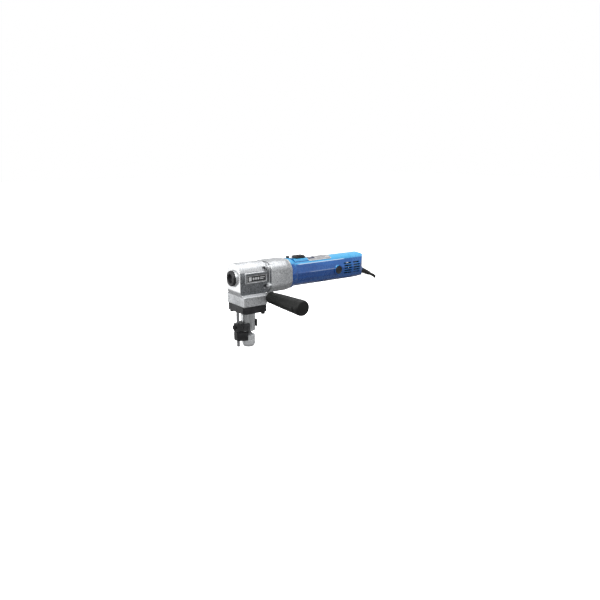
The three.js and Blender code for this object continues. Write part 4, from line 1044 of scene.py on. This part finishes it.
CAM = Vector((-0.80598, -1.05208, 0.41735))
ROT = (math.radians(76.37), 0, math.radians(-35.85))
cam = bpy.data.cameras.new("camera")
cam.sensor_width, cam.lens, cam.dof.use_dof = 36, 36, False
camera = bpy.data.objects.new("camera", cam)
camera.location, camera.rotation_euler = CAM, ROT
scene.collection.objects.link(camera)
scene.camera = camera

# a small white card near the camera, in front of the stored coil only
AZ, EL = math.radians(35.85), math.radians(13.63)
RIGHT = Vector((math.cos(AZ), -math.sin(AZ), 0))
FLAT = Vector((math.sin(AZ), math.cos(AZ), 0))
FWD = FLAT * math.cos(EL) - Vector((0, 0, math.sin(EL)))
UP = FLAT * math.sin(EL) + Vector((0, 0, math.cos(EL)))
CARD = [(317, 324), (317, 298), (360, 296), (368, 288), (372.6, 281.2), (375.2, 277.4), (376.6, 272.4), (380, 266), (398, 266), (398, 324)]


def on_card(u, v):
    d = FWD + RIGHT * ((u - 300) / 600) - UP * ((v - 300) / 600)
    return CAM + d * 0.3


card = staged("background_card", [on_card(u, v) for u, v in CARD], [list(range(len(CARD)))], WHITE)
card.visible_diffuse = card.visible_glossy = card.visible_shadow = card.visible_transmission = False

world = bpy.data.worlds.new("studio")
scene.world = world
world.use_nodes = True
t = world.node_tree
t.nodes.clear()
out = t.nodes.new("ShaderNodeOutputWorld")
shown, soft = t.nodes.new("ShaderNodeBackground"), t.nodes.new("ShaderNodeBackground")
ray, pick = t.nodes.new("ShaderNodeLightPath"), t.nodes.new("ShaderNodeMixShader")
co, sep, ramp = t.nodes.new("ShaderNodeTexCoord"), t.nodes.new("ShaderNodeSeparateXYZ"), t.nodes.new("ShaderNodeMapRange")
shown.inputs[0].default_value, shown.inputs[1].default_value = (1, 1, 1, 1), 1.0
soft.inputs[0].default_value = (1, 1, 1, 1)
t.links.new(co.outputs["Generated"], sep.inputs[0])
t.links.new(sep.outputs[2], ramp.inputs["Value"])
for k, v in (("From Min", -0.6), ("From Max", 0.9), ("To Min", 0.32), ("To Max", 0.95)):
    ramp.inputs[k].default_value = v
t.links.new(ramp.outputs["Result"], soft.inputs[1])
t.links.new(ray.outputs["Is Camera Ray"], pick.inputs[0])
t.links.new(soft.outputs[0], pick.inputs[1])
t.links.new(shown.outputs[0], pick.inputs[2])
t.links.new(pick.outputs[0], out.inputs[0])


def lamp(name, at, aim, size, power, tall=None):
    d = bpy.data.lights.new(name, "AREA")
    d.shape, d.size, d.size_y, d.energy = "RECTANGLE", size, tall or size, power
    o = bpy.data.objects.new(name, d)
    o.location = at
    o.rotation_euler = (Vector(aim) - Vector(at)).to_track_quat("-Z", "Y").to_euler()
    scene.collection.objects.link(o)
    o.visible_camera = False
    return o


lamp("key_left", (-1.25, -0.35, 0.95), (0, 0, 0.12), 0.9, 14, 0.7)
lamp("top", (0.15, 0.1, 1.3), (0, 0, 0.15), 0.9, 9.5, 0.5)
lamp("kick", (-1.1, 1.0, 0.05), (0, 0, 0.12), 0.8, 3.2)
lamp("front_fill", (0.7, -1.3, 0.5), (0, 0, 0.12), 0.8, 1.8)

bpy.context.view_layer.update()
